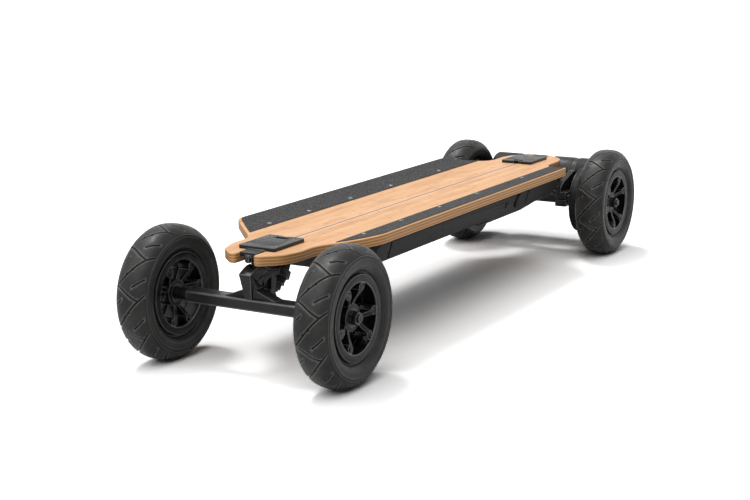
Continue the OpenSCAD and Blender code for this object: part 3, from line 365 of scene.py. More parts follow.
finishDefaults = {
    "toneAmount": 0.5, "speckle": 0.1, "wear": 0.6, "marks": (), "coarse": 0.4,
    "glossFrom": (0.3, 0.7), "metallic": 0.0, "specular": 0.5,
}
metalGrain = {"grainScale": 900.0, "grainStrength": 0.15, "grainDepth": 0.05 * mm, "metallic": 1.0}
finishes = {
    "hangerCoat": dict(
        colour=srgb(20, 20, 21), other=srgb(32, 32, 33), toneScale=45.0, speckle=0.4,
        worn=srgb(84, 84, 85), grainScale=1300.0, grainStrength=0.6, grainDepth=0.14 * mm,
        roughness=(0.3, 0.42), specular=0.28,
    ),
    "shellPlastic": dict(
        colour=srgb(20, 20, 21), other=srgb(29, 29, 30), toneScale=12.0, toneAmount=0.4,
        worn=srgb(70, 70, 71), wear=0.3, grainScale=1900.0, grainStrength=0.5, grainDepth=0.12 * mm,
        roughness=(0.46, 0.58), specular=0.22,
    ),
    "hubPlastic": dict(
        colour=srgb(9, 9, 10), other=srgb(17, 17, 18), toneScale=30.0, toneAmount=0.4, worn=srgb(84, 84, 85),
        grainScale=1900.0, grainStrength=0.3, grainDepth=0.08 * mm, roughness=(0.26, 0.36), specular=0.2,
    ),
    "tyreRubber": dict(
        colour=srgb(30, 30, 30), other=srgb(53, 52, 51), toneScale=34.0, toneAmount=0.7, speckle=0.7,
        worn=srgb(128, 127, 125), wear=0.9, grainScale=1100.0, grainStrength=0.7, grainDepth=0.2 * mm,
        # painted shade: groove floors darkened towards black by depth; painted highlight: lighter groove
        # edges and side-wall ridges
        marks=(("hollow", srgb(3, 3, 3), 0.95), ("rim", srgb(112, 111, 109), 0.5)),
        roughness=(0.28, 0.46), specular=0.24,
    ),
    "softRubber": dict(
        colour=srgb(20, 20, 20), other=srgb(28, 28, 28), toneScale=30.0, toneAmount=0.4,
        worn=srgb(60, 60, 60), wear=0.3, grainScale=1500.0, grainStrength=0.4, grainDepth=0.12 * mm,
        roughness=(0.5, 0.64), specular=0.2,
    ),
    "brightSteel": dict(
        metalGrain, colour=srgb(176, 176, 180), other=srgb(150, 150, 155), toneScale=60.0,
        worn=srgb(215, 215, 218), wear=0.4, roughness=(0.24, 0.4),
    ),
    # finish for bevel faces: edge wear with a painted highlight along the edges
    "wornEdge": dict(
        metalGrain, colour=srgb(92, 92, 93), other=srgb(66, 66, 67), toneScale=60.0, toneAmount=0.7,
        worn=srgb(130, 130, 131), wear=0.4, roughness=(0.3, 0.42), metallic=0.3,
    ),
    "darkSteel": dict(
        metalGrain, colour=srgb(74, 74, 77), other=srgb(54, 54, 57), toneScale=60.0,
        worn=srgb(170, 170, 173), roughness=(0.26, 0.4),
    ),
    "screwSteel": dict(
        metalGrain, colour=srgb(128, 128, 130), other=srgb(104, 104, 107), toneScale=80.0, toneAmount=0.6,
        worn=srgb(190, 190, 192), wear=0.4, roughness=(0.3, 0.44),
    ),
    "blackFastener": dict(
        metalGrain, colour=srgb(34, 34, 36), other=srgb(48, 48, 50), toneScale=70.0,
        worn=srgb(140, 140, 142), grainScale=1200.0, grainStrength=0.2, roughness=(0.28, 0.4), metallic=0.7,
    ),
    "cellWrap": dict(
        colour=srgb(42, 92, 160), other=srgb(34, 78, 146), toneScale=30.0, toneAmount=0.6,
        worn=srgb(90, 140, 200), wear=0.2, grainScale=300.0, grainStrength=0.1, grainDepth=0.1 * mm,
        roughness=(0.22, 0.34),
    ),
    "bareAluminium": dict(
        metalGrain, colour=srgb(190, 192, 195), other=srgb(170, 172, 176), toneScale=40.0,
        worn=srgb(225, 226, 228), wear=0.4, grainScale=1700.0, grainStrength=0.4, grainDepth=0.08 * mm,
        roughness=(0.4, 0.5),
    ),
}
materials = {name: plainFinish(name, look) for name, look in finishes.items()}
finishOfSlot = {
    "black_metal": "hangerCoat", "shell_plastic": "shellPlastic", "hub_plastic": "hubPlastic",
    "tyre_rubber": "tyreRubber", "black_rubber": "softRubber", "bright_steel": "brightSteel",
    "black_fastener": "blackFastener", "cell_wrap": "cellWrap", "bare_aluminium": "bareAluminium",
}
finishOfNode = {"front_bearings": "blackFastener", "rear_bearings": "blackFastener"}
print("finishes made:", ", ".join(materials))

# Deck: the same outline as the construction, with rounded edges and a smooth concave; in millimetres.
# prongFlat, prongShoulder and prongSide place the corners of a prong's end from its tip and side,
# shoulderFrom and shoulderTo the slope from neck to wing; corners are the radii along the quarter outline
deck = {
    "top": 153.0, "thick": 13.0, "wingHalf": 112.0, "neckHalf": 52.0, "noseLength": 445.0,
    "tailLength": 456.0, "slotHalf": 13.0, "slotFrom": 351.8, "wingHalfLength": 292.0, "rise": 9.5,
    "flatHalf": 40.0, "edgeRadius": 2.0, "prongFlat": 30, "prongShoulder": (8, 21), "prongSide": 48,
    "slant": 0.7, "shoulderFrom": 64, "shoulderTo": 6,
    "corners": (0, 2, 4, 10, 30, 40, 40, 20, 0), "cornerSteps": 14, "edgeStep": 12, "cell": (6, 18),
    "arcSteps": 4,
}
bambooLook = {
    "main": srgb(240, 191, 145), "other": srgb(227, 174, 125), "stripWidth": 6.4 * mm,
    "figure": srgb(202, 144, 98), "figureAmount": 0.8, "figureStretch": 0.16, "figureScale": 75,
    "figureDetail": 5, "figureRoughness": 0.65, "figureFrom": (0.48, 0.72),
    "fibre": srgb(200, 144, 96), "fibreStretch": 0.018, "fibreScale": 900, "fibreDetail": 4,
    "fibreFrom": (0.5, 0.8),
    "nodeColour": srgb(190, 130, 84), "nodeEvery": 0.23, "nodeShift": 7.3, "nodeFrom": (0.012, 0.004),
    "nodeAmount": 0.6,
    "stripe": srgb(122, 86, 88), "stripeHalf": 1.5 * mm, "stripePale": srgb(246, 214, 182),
    "paleFrom": 1.8 * mm, "paleTo": 3.0 * mm,
    "layerLight": srgb(214, 166, 112), "layerDark": srgb(176, 128, 82), "plies": 7,
    "glueLine": srgb(132, 90, 54), "glueHalf": 0.022, "edgeFrom": 0.05, "edgeTo": 0.95,
    "grainScale": 1200.0, "coarse": 0.3, "fibreHeight": 0.7, "bumpStrength": 0.12,
    "bumpDepth": 0.1 * mm, "roughness": (0.4, 0.54), "specular": 0.25,
}
grip = {
    "margin": 3.2, "inner": 65.0, "thick": 0.9, "edgeRadius": 0.25, "edgeStep": 10, "cell": (5, 15),
    "arcSteps": 2, "colour": srgb(68, 68, 69), "other": srgb(46, 46, 47), "toneScale": 9.0,
    "toneAmount": 0.25, "speckle": 0.6, "spark": srgb(176, 176, 176), "sparkFrom": 0.93,
    "sparkAmount": 0.45, "grainSize": 1500.0, "roughness": 0.82, "specular": 0.15, "bumpStrength": 0.8,
    "bumpDepth": 0.4 * mm,
}
# How a sheet is filled: its points' shift, their squared distance from the edge, the doubles' distance
plateFill = {"shift": (0.013, 0.017), "clearSquared": 6, "nearest": 1e-5, "smoothAngle": 40}


curvedWidth = deck["wingHalf"] - deck["flatHalf"]


def concave(x):
    # height of the deck's top above its flat middle
    return deck["rise"] * (max(0.0, abs(x) - deck["flatHalf"]) / curvedWidth) ** 2


def cornerArc(a, b, c, radius, steps):
    u, v = (a - b).normalized(), (c - b).normalized()
    half = math.acos(max(-1, min(1, u.dot(v)))) / 2
    centre = b + (u + v).normalized() * radius / math.sin(half)
    start = b + u * radius / math.tan(half) - centre
    end = b + v * radius / math.tan(half) - centre
    turn = math.atan2(start.x * end.y - start.y * end.x, start.dot(end))
    first = math.atan2(start.y, start.x)
    return [centre + radius * Vector((math.cos(first + turn * i / steps), math.sin(first + turn * i / steps)))
            for i in range(steps + 1)]


def deckQuarter(inset, length):
    half, wing, tip = deck["neckHalf"], deck["wingHalf"], -length + inset
    shoulderIn, shoulderUp = deck["prongShoulder"]
    slant, wingEnd = inset * deck["slant"], -deck["wingHalfLength"] + inset
    points = [
        (0, -deck["slotFrom"]), (deck["slotHalf"], -deck["slotFrom"]), (deck["slotHalf"], tip),
        (half - deck["prongFlat"], tip), (half - shoulderIn - slant, -length + shoulderUp + slant),
        (half - inset, -length + deck["prongSide"]), (half - inset, wingEnd - deck["shoulderFrom"]),
        (wing - inset, wingEnd - deck["shoulderTo"]), (wing - inset, 0),
    ]
    points = [Vector(p) for p in points]
    quarter = []
    for i, (point, radius) in enumerate(zip(points, deck["corners"])):
        if radius == 0:
            quarter.append(point)
        else:
            quarter += cornerArc(points[i - 1], point, points[i + 1], radius, deck["cornerSteps"])
    return quarter


def deckLoop(inset):
    nose, tail = deckQuarter(inset, deck["noseLength"]), deckQuarter(inset, deck["tailLength"])
    whole = nose + [Vector((p.x, -p.y)) for p in tail[::-1]]
    whole += [Vector((-p.x, -p.y)) for p in tail] + [Vector((-p.x, p.y)) for p in nose[::-1]]
    return whole


def evenLoop(loop, step, nearest=0.01):
    # no doubled points, and no edge longer than the step
    clean = []
    for point in loop:
        if not clean or (point - clean[-1]).length > nearest:
            clean.append(point)
    if (clean[0] - clean[-1]).length < nearest:
        clean.pop()
    even = []
    for here, after in zip(clean, clean[1:] + clean[:1]):
        parts = max(1, math.ceil((after - here).length / step))
        even += [here + (after - here) * i / parts for i in range(parts)]
    return even


def inwards(loop, distance):
    moved, count = [], len(loop)
    for i, here in enumerate(loop):
        before, after = (here - loop[i - 1]).normalized(), (loop[(i + 1) % count] - here).normalized()
        normal = Vector((-(before.y + after.y), before.x + after.x)).normalized()
        lean = max(0.5, normal.dot(Vector((-before.y, before.x))))
        moved.append(here + normal * distance / lean)
    return moved


def within(spot, loop):
    crossings = 0
    for a, b in zip(loop, loop[1:] + loop[:1]):
        if (a.y > spot.y) != (b.y > spot.y) and spot.x < a.x + (b.x - a.x) * (spot.y - a.y) / (b.y - a.y):
            crossings += 1
    return crossings % 2 == 1


def roundedRings(radius, thick, arcSteps):
    # (inset, drop) of each ring of the edge, from the top face around to the bottom face
    turns = [math.pi / 2 * k / arcSteps for k in range(arcSteps + 1)]
    rings = [(radius * (1 - math.sin(turn)), -radius * (1 - math.cos(turn))) for turn in turns]
    return rings + [(inset, -thick - drop) for inset, drop in rings[::-1]]


def fillTriangles(edge, cell):
    # staggered points inside an outline, joined to it by triangles
    xs, ys = [p.x for p in edge], [p.y for p in edge]
    inside = []
    for i in range(math.floor(min(xs) / cell[0]), math.ceil(max(xs) / cell[0]) + 1):
        for j in range(math.floor(min(ys) / cell[1]), math.ceil(max(ys) / cell[1]) + 1):
            x, y = i * cell[0] + plateFill["shift"][0], (j + 0.5 * (i % 2)) * cell[1] + plateFill["shift"][1]
            spot = Vector((x, y))
            if min((spot - p).length_squared for p in edge) > plateFill["clearSquared"]:
                inside.append(spot)
    border = [(i, (i + 1) % len(edge)) for i in range(len(edge))]
    found, _, tris, origin, _, _ = delaunay_2d_cdt(edge + inside, border, [], 0, plateFill["nearest"], True)
    tris = [tri for tri in tris if within(sum((found[i] for i in tri), Vector((0, 0))) / 3, edge)]
    return found, tris, origin


def plateMesh(name, loop, top, sheet):
    # closed sheet that follows the concave, with rounded edges
    count, thick, radius = len(loop), sheet["thick"], sheet["edgeRadius"]
    rings = roundedRings(radius, thick, sheet["arcSteps"])
    points = [(p.x, p.y, top + concave(p.x) + drop) for inset, drop in rings for p in inwards(loop, inset)]
    lastRing = (len(rings) - 1) * count
    faces = []
    for low in range(0, lastRing, count):
        for i in range(count):
            j = (i + 1) % count
            faces.append((low + i, low + count + i, low + count + j, low + j))
    found, tris, origin = fillTriangles(inwards(loop, radius), sheet["cell"])
    upper, lower = {}, {}
    for i, spot in enumerate(found):
        own = [o for o in origin[i] if o < count]
        if own:
            upper[i], lower[i] = own[0], lastRing + own[0]
            continue
        upper[i], lower[i] = len(points), len(points) + 1
        height = top + concave(spot.x)
        points += [(spot.x, spot.y, height), (spot.x, spot.y, height - thick)]
    for tri in tris:
        faces.append(tuple(upper[i] for i in tri))
        faces.append(tuple(lower[i] for i in reversed(tri)))
    mesh = meshFrom(name, [(x * mm, boardMidY + y * mm, z * mm) for x, y, z in points], faces)
    faceOutwards(mesh)
    smoothShade(mesh, plateFill["smoothAngle"])
    return mesh


def pliesRamp(tree, share, look):
    # light and dark layers with a thin glue line between them, by the share of the thickness
    ramp = addNode(tree, "ShaderNodeValToRGB", {"Fac": share})
    layers, glueHalf = (look["layerLight"], look["layerDark"]), look["glueHalf"]
    stops = [(0.0, layers[0])]
    for k in range(1, look["plies"]):
        at, before, after = k / look["plies"], layers[(k - 1) % 2], layers[k % 2]
        stops += [(at - glueHalf, before), (at, look["glueLine"]), (at + glueHalf, after)]
    elements = ramp.color_ramp.elements
    while len(elements) < len(stops):
        elements.new(0.5)
    for stop, (at, tone) in zip(elements, stops):
        stop.position = at
        stop.color = (*tone, 1)
    return ramp.outputs["Color"]


def stretchedNoise(tree, look, kind, roughness=0.5):
    # noise that is drawn out along the board
    drawn = addNode(tree, "ShaderNodeMapping", {
        "Vector": objectPlace(tree), "Scale": (1.0, look[kind + "Stretch"], 1.0),
    })
    return noise(tree, drawn.outputs[0], look[kind + "Scale"], look[kind + "Detail"], roughness)


def bambooMaterial(look):
    made, tree, skin = blankMaterial("bamboo")

    def calc(operation, *values):
        return mathNode(tree, operation, *values)

    def between(value, low, high):
        return calc("MULTIPLY", calc("GREATER_THAN", value, low), calc("LESS_THAN", value, high))

    x, y, z = addNode(tree, "ShaderNodeSeparateXYZ", {0: objectPlace(tree)}).outputs
    # strips side by side, each with its own tone
    strip = calc("FLOOR", calc("ADD", calc("DIVIDE", x, look["stripWidth"]), 0.5))
    chance = addNode(tree, "ShaderNodeTexWhiteNoise", {"W": strip}, noise_dimensions="1D").outputs["Value"]
    colour = mixColour(tree, chance, look["main"], look["other"])
    # browner figure in long patches
    figure = stretchedNoise(tree, look, "figure", look["figureRoughness"])
    figureMask = mapRange(tree, figure, *look["figureFrom"], 0.0, look["figureAmount"])
    colour = mixColour(tree, figureMask, colour, look["figure"])
    # long fibres
    fibre = stretchedNoise(tree, look, "fibre")
    colour = mixColour(tree, mapRange(tree, fibre, *look["fibreFrom"]), colour, look["fibre"])
    # growth nodes: short darker bars, at their own places in each strip
    along = calc("ADD", calc("DIVIDE", y, look["nodeEvery"]), calc("MULTIPLY", chance, look["nodeShift"]))
    bar = calc("ABSOLUTE", calc("SUBTRACT", calc("FRACT", along), 0.5))
    barMask = mapRange(tree, bar, *look["nodeFrom"], 0.0, look["nodeAmount"])
    colour = mixColour(tree, barMask, colour, look["nodeColour"])
    # printed line down the middle between two pale ones
    middle = calc("ABSOLUTE", x)
    pale = between(middle, look["paleFrom"], look["paleTo"])
    colour = mixColour(tree, pale, colour, look["stripePale"])
    colour = mixColour(tree, calc("LESS_THAN", middle, look["stripeHalf"]), colour, look["stripe"])
    # plies on the edge, by depth under the top
    reach = calc("MAXIMUM", calc("SUBTRACT", middle, deck["flatHalf"] * mm), 0.0)
    lift = calc("MULTIPLY", calc("POWER", reach, 2.0), deck["rise"] * mm / (curvedWidth * mm) ** 2)
    depth = calc("SUBTRACT", calc("ADD", lift, deck["top"] * mm), z)
    share = calc("DIVIDE", depth, deck["thick"] * mm)
    onEdge = between(share, look["edgeFrom"], look["edgeTo"])
    colour = mixColour(tree, onEdge, colour, pliesRamp(tree, share, look))
    tree.links.new(colour, skin["Base Color"])
    tree.links.new(mapRange(tree, fibre, 0.0, 1.0, *look["roughness"]), skin["Roughness"])
    skin["Specular IOR Level"].default_value = look["specular"]
    grain = grainOf(tree, look)
    height = calc("ADD", calc("MULTIPLY", fibre, look["fibreHeight"]), grain["Height"])
    addBump(tree, skin, height, look["bumpStrength"], look["bumpDepth"])
    return made


def gritMaterial(look):
    made, tree, skin = blankMaterial("gripGrit")
    feeds = {"Vector": objectPlace(tree), "Scale": look["grainSize"]}
    grit = addNode(tree, "ShaderNodeTexVoronoi", feeds, feature="F1").outputs
    glint = addNode(tree, "ShaderNodeSeparateColor", {0: grit["Color"]}).outputs[0]
    bright = mathNode(tree, "GREATER_THAN", glint, look["sparkFrom"])
    bright = mathNode(tree, "MULTIPLY", bright, look["sparkAmount"])
    colour = mixColour(tree, bright, toneOf(tree, look), look["spark"])
    tree.links.new(colour, skin["Base Color"])
    skin["Roughness"].default_value = look["roughness"]
    skin["Specular IOR Level"].default_value = look["specular"]
    height = mathNode(tree, "SUBTRACT", 1.0, grit["Distance"])
    addBump(tree, skin, height, look["bumpStrength"], look["bumpDepth"])
    return made


materials["bamboo"] = bambooMaterial(bambooLook)
materials["gripGrit"] = gritMaterial(grip)

deckOutline = evenLoop(deckLoop(0), deck["edgeStep"])
made = link("bambooDeck", plateMesh("bambooDeck", deckOutline, deck["top"], deck))
finishPiece(made, "board", materials["bamboo"], "bamboo", "deck")


def keepBeyond(loop, limit):
    # the part of an outline with x past the limit
    kept = []
    for here, after in zip(loop, loop[1:] + loop[:1]):
        if here.x >= limit:
            kept.append(here)
        if (here.x - limit) * (after.x - limit) < 0:
            kept.append(here.lerp(after, (limit - here.x) / (after.x - here.x)))
    return kept


gripLoop = evenLoop(keepBeyond(deckLoop(grip["margin"]), grip["inner"]), grip["edgeStep"])
for side, label in ((1, "left"), (-1, "right")):
    loop = gripLoop if side == 1 else [Vector((-p.x, p.y)) for p in gripLoop[::-1]]
    mesh = plateMesh("gripSheet." + label, loop, deck["top"] + grip["thick"], grip)
    made = link("gripSheet." + label, mesh)
    finishPiece(made, "board", materials["gripGrit"], "grip")
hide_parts("grip_tape")
print("deck and grip sheets made")

# Geometry Nodes: copies of a small piece on the points of a mesh, and copies of a sector around an axle


def newNodes(name, **inputs):
    tree = bpy.data.node_groups.new(name, "GeometryNodeTree")
    for label, kind in {"Geometry": "Geometry", **inputs}.items():
        tree.interface.new_socket(label, in_out="INPUT", socket_type="NodeSocket" + kind)
    tree.interface.new_socket("Geometry", in_out="OUTPUT", socket_type="NodeSocketGeometry")
    return tree, tree.nodes.new("NodeGroupInput").outputs, tree.nodes.new("NodeGroupOutput").inputs


def realized(tree, points, piece, rotation):
    feeds = {"Points": points, "Instance": piece, "Rotation": rotation}
    spread = addNode(tree, "GeometryNodeInstanceOnPoints", feeds)
    solid = addNode(tree, "GeometryNodeRealizeInstances", {"Geometry": spread.outputs["Instances"]})
    return solid.outputs["Geometry"]


def putPainted(tree, geometry, finish, put):
    paint = addNode(tree, "GeometryNodeSetMaterial", {"Geometry": geometry, "Material": finish})
    tree.links.new(paint.outputs["Geometry"], put["Geometry"])


def pointCopiesTree():
    tree, given, put = newNodes("copiesOnPoints", Piece="Object", Finish="Material")
    piece = addNode(tree, "GeometryNodeObjectInfo", {"Object": given["Piece"]}).outputs["Geometry"]
    turn = addNode(tree, "GeometryNodeInputNamedAttribute", {"Name": "turn"}, data_type="FLOAT_VECTOR")
    copies = realized(tree, given["Geometry"], piece, turn.outputs["Attribute"])
    putPainted(tree, copies, given["Finish"], put)
    return tree


def axleCopiesTree():
    tree, given, put = newNodes("copiesAroundAxle", Count="Int", Merge="Float", Finish="Material")
    line = addNode(tree, "GeometryNodeMeshLine", {"Count": given["Count"], "Offset": (0, 0, 0)})
    number = addNode(tree, "GeometryNodeInputIndex").outputs[0]
    share = mathNode(tree, "DIVIDE", number, given["Count"])
    turn = addNode(tree, "ShaderNodeCombineXYZ", {"X": mathNode(tree, "MULTIPLY", share, 2 * math.pi)})
    whole = realized(tree, line.outputs["Mesh"], given["Geometry"], turn.outputs[0])
    weld = addNode(tree, "GeometryNodeMergeByDistance", {"Geometry": whole, "Distance": given["Merge"]})
    putPainted(tree, weld.outputs["Geometry"], given["Finish"], put)
    return tree


def addTree(made, tree, values):
    modifier = made.modifiers.new(tree.name, "NODES")
    modifier.node_group = tree
    for item in tree.interface.items_tree:
        if item.in_out == "INPUT" and item.name in values:
            modifier[item.identifier] = values[item.name]


copiesOnPoints, copiesAroundAxle = pointCopiesTree(), axleCopiesTree()

# Tyres: one tenth of the tread with its share of both side walls, repeated around the axle; in millimetres.
# The crown is laid out flat: x runs around it, y is the way along the half profile from its middle
tread = {
    "repeats": 10, "halfWidth": 27.0, "columns": 18, "rowHeight": 1.8, "sideParts": 54, "profileSteps": 12,
    "grooveFloor": 0.6, "grooveEdge": 1.4, "chamfer": 0.28, "grooveDepth": 2.1, "lipDepth": 0.2,
    # ridges: side-wall rings that get a painted highlight, with its strength after them
    "fadeFrom": 24.4, "fadeTo": 26.8, "endTurns": (0.8, 0, -0.8), "ridges": (3, 8), "ridgeHighlight": 0.35,
    "tangentStep": 0.6, "borderGap": 0.1, "pointGap": 0.5, "seamGap": 0.4, "nearest": 1e-3, "sliver": 2e-4,
    "weld": 0.02 * mm, "smoothAngle": 36,
}
grooves = {
    "long": {"start": 27.5, "lean": -1.0577, "sway": -1.2, "swayLength": 26, "reach": 27, "parts": 44},
    "cross": {"start": 55, "lean": 0.5, "sway": 0.7, "swayLength": 17, "reach": 17, "parts": 30},
    "slit": [(34.5, 22), (40.6, 14.6), (46, 8)],
    "pit": [(24.9, 4.6), (24.1, 3.4)],
}
treadProfile = [
    (87.49, 0), (87.4, 3.5), (87.1, 7), (86.2, 11.5), (84.7, 15), (82.6, 18), (80, 20.4), (77.6, 22.1),
    (76.4, 22.7),
]
wallProfile = [
    (75.9, 22.55), (75.6, 23.3), (75, 23.9), (74.2, 23.9), (73.6, 23.4), (73.1, 23.4), (72.5, 24.1),
    (71.7, 24.25), (71.0, 23.9), (70.5, 23.6), (68, 23.7), (65, 23.4), (62, 22.6), (59.5, 21.2), (57.9, 19.7),
    (56.7, 18.1), (56.1, 17.2), (55.2, 17.0), (53.4, 16.7), (52.2, 15.6), (50.4, 15), (50.4, 12.2),
    (53, 12), (57, 13.2), (62, 17), (69, 18.6), (75, 16), (80, 9), (82, 0),
]
treadStart = {"front_left": 161.5, "front_right": 169.7, "rear_left": 161.2, "rear_right": 174.0}
period = 2 * math.pi * treadProfile[0][0] / tread["repeats"]


def profileTable(points):
    # even steps along a smooth line through the half profile: arc length, radius, sideways
    line = smoothLine([Vector(p) for p in points], tread["profileSteps"])
    arc = np.cumsum([0] + [(b - a).length for a, b in zip(line, line[1:])])
    return arc * tread["halfWidth"] / arc[-1], np.array([p.x for p in line]), np.array([p.y for p in line])


arcTable, radiusTable, sideTable = profileTable(treadProfile)


def profileAt(arc):
    return np.array([np.interp(arc, arcTable, radiusTable), np.interp(arc, arcTable, sideTable)])


def onProfile(s, depth):
    # radius and sideways place at a depth under the crown
    arc, step = abs(s), tread["tangentStep"]
    along = profileAt(min(arc + step, tread["halfWidth"])) - profileAt(max(arc - step, 0))
    along /= np.linalg.norm(along)
    radius, sideways = profileAt(arc) + depth * np.array([-along[1], along[0]])
    return radius, math.copysign(sideways, s) if arc > 1e-9 else 0.0


def grooveAt(groove, s):
    # where a groove's centre line crosses the height s of the flat crown
    sway = groove["sway"] * math.sin(math.pi * s / groove["swayLength"])
    return groove["start"] + groove["lean"] * s + sway


def longGroove(s):
    return grooveAt(grooves["long"], s)


def grooveLines():
    # centre lines of one repeat; slit and pit come twice, the second time turned about the cross groove
    lines = []
    for groove in (grooves["long"], grooves["cross"]):
        reach, parts = groove["reach"], groove["parts"]
        heights = [-reach + 2 * reach * i / parts for i in range(parts + 1)]
        lines.append([Vector((grooveAt(groove, s), s)) for s in heights])
    for line in (grooves["slit"], grooves["pit"]):
        lines.append([Vector(p) for p in line])
        lines.append([Vector((grooves["cross"]["start"] - p.x, -p.y)) for p in lines[-1]])
    return lines


def distanceTo(point, start, end):
    along = end - start
    t = max(0.0, min(1.0, (point - start).dot(along) / along.length_squared))
    return (point - start - along * t).length


def distanceLines(point, lines):
    return min(distanceTo(point, a, b) for line in lines for a, b in zip(line, line[1:]))


def treadDepth(point, lines):
    # depth below the crown, and the strength of a painted highlight where a point lies on the edge of a
    # groove
    best = distanceLines(point, lines)
    floor, edge, top = tread["grooveFloor"], tread["grooveEdge"], tread["grooveEdge"] + tread["chamfer"]
    depths = [tread["grooveDepth"], tread["grooveDepth"], tread["lipDepth"], 0]
    depth = float(np.interp(best, [0, floor, edge, top], depths))
    fade = (tread["fadeTo"] - abs(point.y)) / (tread["fadeTo"] - tread["fadeFrom"])
    fade = max(0.0, min(1.0, fade))
    return depth * fade, fade if abs(best - (edge + top) / 2) < tread["chamfer"] else 0.0


def outlineOf(line, offset):
    # closed outline at a distance from an open line, with rounded ends
    left, right = [], []
    for i, here in enumerate(line):
        along = directionAt(line, i)
        normal = Vector((-along.y, along.x))
        left.append(here + normal * offset)
        right.append(here - normal * offset)
    caps = []
    for here, before in ((line[-1], line[-2]), (line[0], line[1])):
        first = math.atan2((here - before).y, (here - before).x)
        turns = [first + a for a in tread["endTurns"]]
        caps.append([here + offset * Vector((math.cos(turn), math.sin(turn))) for turn in turns])
    return left + caps[0] + right[::-1] + caps[1]


def clipped(a, b, width, half):
    # the stretch of a line that lies inside the sector
    low, high = 0.0, 1.0
    for start, step, least, most in ((a.x, b.x - a.x, 0, width), (a.y, b.y - a.y, -half, half)):
        if abs(step) < 1e-9:
            if start < least or start > most:
                return None
            continue
        near, far = sorted(((least - start) / step, (most - start) / step))
        low, high = max(low, near), min(high, far)
    if high - low < 1e-6:
        return None
    return [a.lerp(b, low), a.lerp(b, high)]


def sectorBorder(half, columns):
    # both long sides lie in the middle of the long groove
    heights = [-half + 2 * half * i / tread["sideParts"] for i in range(tread["sideParts"] + 1)]
    spots = [Vector((u, s)) for u in (0, period) for s in heights]
    return spots + [Vector((period * i / columns, s)) for s in (-half, half) for i in range(1, columns)]


def grooveEdges(lines, offsets, spots):
    # the grooves' outlines, laid along the long groove and cut to the sector; their ends join the spots
    edges = []
    for line in lines:
        for offset in offsets:
            outline = [Vector((p.x - longGroove(p.y), p.y)) for p in outlineOf(line, offset)]
            for a, b in zip(outline, outline[1:] + outline[:1]):
                ends = clipped(a, b, period, tread["halfWidth"] - tread["borderGap"])
                if ends:
                    edges.append((len(spots), len(spots) + 1))
                    spots += ends
    return edges


def crownSpots(lines, offsets, half, columns):
    # staggered points between the outlines
    rows = round(2 * half / tread["rowHeight"])
    spots = []
    for j in range(1, rows):
        s = -half + 2 * half * j / rows
        for i in range(1, columns):
            spot = Vector((period * (i - 0.5 * (j % 2)) / columns, s))
            distance = distanceLines(Vector((spot.x + longGroove(s), s)), lines)
            gap = min(abs(distance - offset) for offset in offsets)
            if gap > tread["pointGap"] and spot.x > tread["seamGap"]:
                spots.append(spot)
    return spots


def treadSector():
    half, columns = tread["halfWidth"], tread["columns"]
    lines = [[Vector((p.x + k * period, p.y)) for p in line] for line in grooveLines() for k in range(-2, 3)]
    offsets = [tread["grooveFloor"], tread["grooveEdge"], tread["grooveEdge"] + tread["chamfer"]]
    spots = sectorBorder(half, columns)
    edges = grooveEdges(lines, offsets, spots)
    inside = crownSpots(lines, offsets, half, columns)
    print("tread sector has", len(spots), "outline points and", len(inside), "inside")
    found, _, tris, _, _, _ = delaunay_2d_cdt(spots + inside, edges, [], 0, tread["nearest"], False)
    # no slivers along the straight border
    areas = [abs((found[b] - found[a]).cross(found[c] - found[a])) for a, b, c in tris]
    faces = [tuple(tri) for tri, area in zip(tris, areas) if area > tread["sliver"]]
    points, hollow, rim = [], [], []
    for spot in found:
        real = Vector((spot.x + longGroove(spot.y), spot.y))
        depth, edge = treadDepth(real, lines)
        radius, sideways = onProfile(spot.y, depth)
        points.append(ringPoint(radius, sideways, real.x))
        # painted shade: the deeper a point lies in a groove, the darker its colour
        hollow.append(depth / tread["grooveDepth"])
        rim.append(edge)
    addWalls(points, faces, rim)
    hollow += [0.0] * (len(points) - len(hollow))
    return points, faces, {"hollow": hollow, "rim": rim}


def ringPoint(radius, sideways, around):
    turn = around / treadProfile[0][0]
    return (sideways * mm, radius * math.cos(turn) * mm, radius * math.sin(turn) * mm)


def addWalls(points, faces, rim):
    # the two side walls and the inner side, in columns that meet the tread's border
    half, columns = tread["halfWidth"], tread["columns"]
    slip = (longGroove(-half) - longGroove(half) - period) / 2
    for side in (-1, 1):
        edgeRadius, edgeSide = onProfile(side * half, 0)
        rings = [(edgeRadius, abs(edgeSide))] + wallProfile
        first = len(points)
        for k, (radius, sideways) in enumerate(rings):
            shift = side * slip * (k / (len(rings) - 1))
            for i in range(columns + 1):
                around = longGroove(side * half) + period * i / columns + shift
                points.append(ringPoint(radius, side * sideways, around))
                # painted highlight on the side wall's ridges
                rim.append(tread["ridgeHighlight"] if k in tread["ridges"] else 0.0)
        for k in range(len(rings) - 1):
            for i in range(columns):
                a = first + k * (columns + 1) + i
                quad = (a, a + columns + 1, a + columns + 2, a + 1)
                faces.append(quad if side == 1 else quad[::-1])


def makeTyre(wheel, side, axleY):
    rubber = materials["tyreRubber"]
    name = "tyre." + wheel.replace("_", ".")
    mesh = meshFrom(name, sectorPoints, sectorFaces)
    for mark, values in sectorMarks.items():
        mesh.attributes.new(mark, "FLOAT", "POINT").data.foreach_set("value", values)
    made = link(name, mesh)
    addTree(made, copiesAroundAxle, {"Count": tread["repeats"], "Merge": tread["weld"], "Finish": rubber})
    mesh = evaluated(made)
    start = Matrix.Rotation(math.radians(treadStart[wheel]), 4, "X")
    mesh.transform(Matrix.Translation((side * wheelX, axleY, tyreRadius)) @ start)
    print(name, len(mesh.polygons), "faces, open edges", faceOutwards(mesh))
    smoothShade(mesh, tread["smoothAngle"])
    finishPiece(made, "wheel_" + wheel, rubber, "tyre_rubber", "tyre_" + wheel)


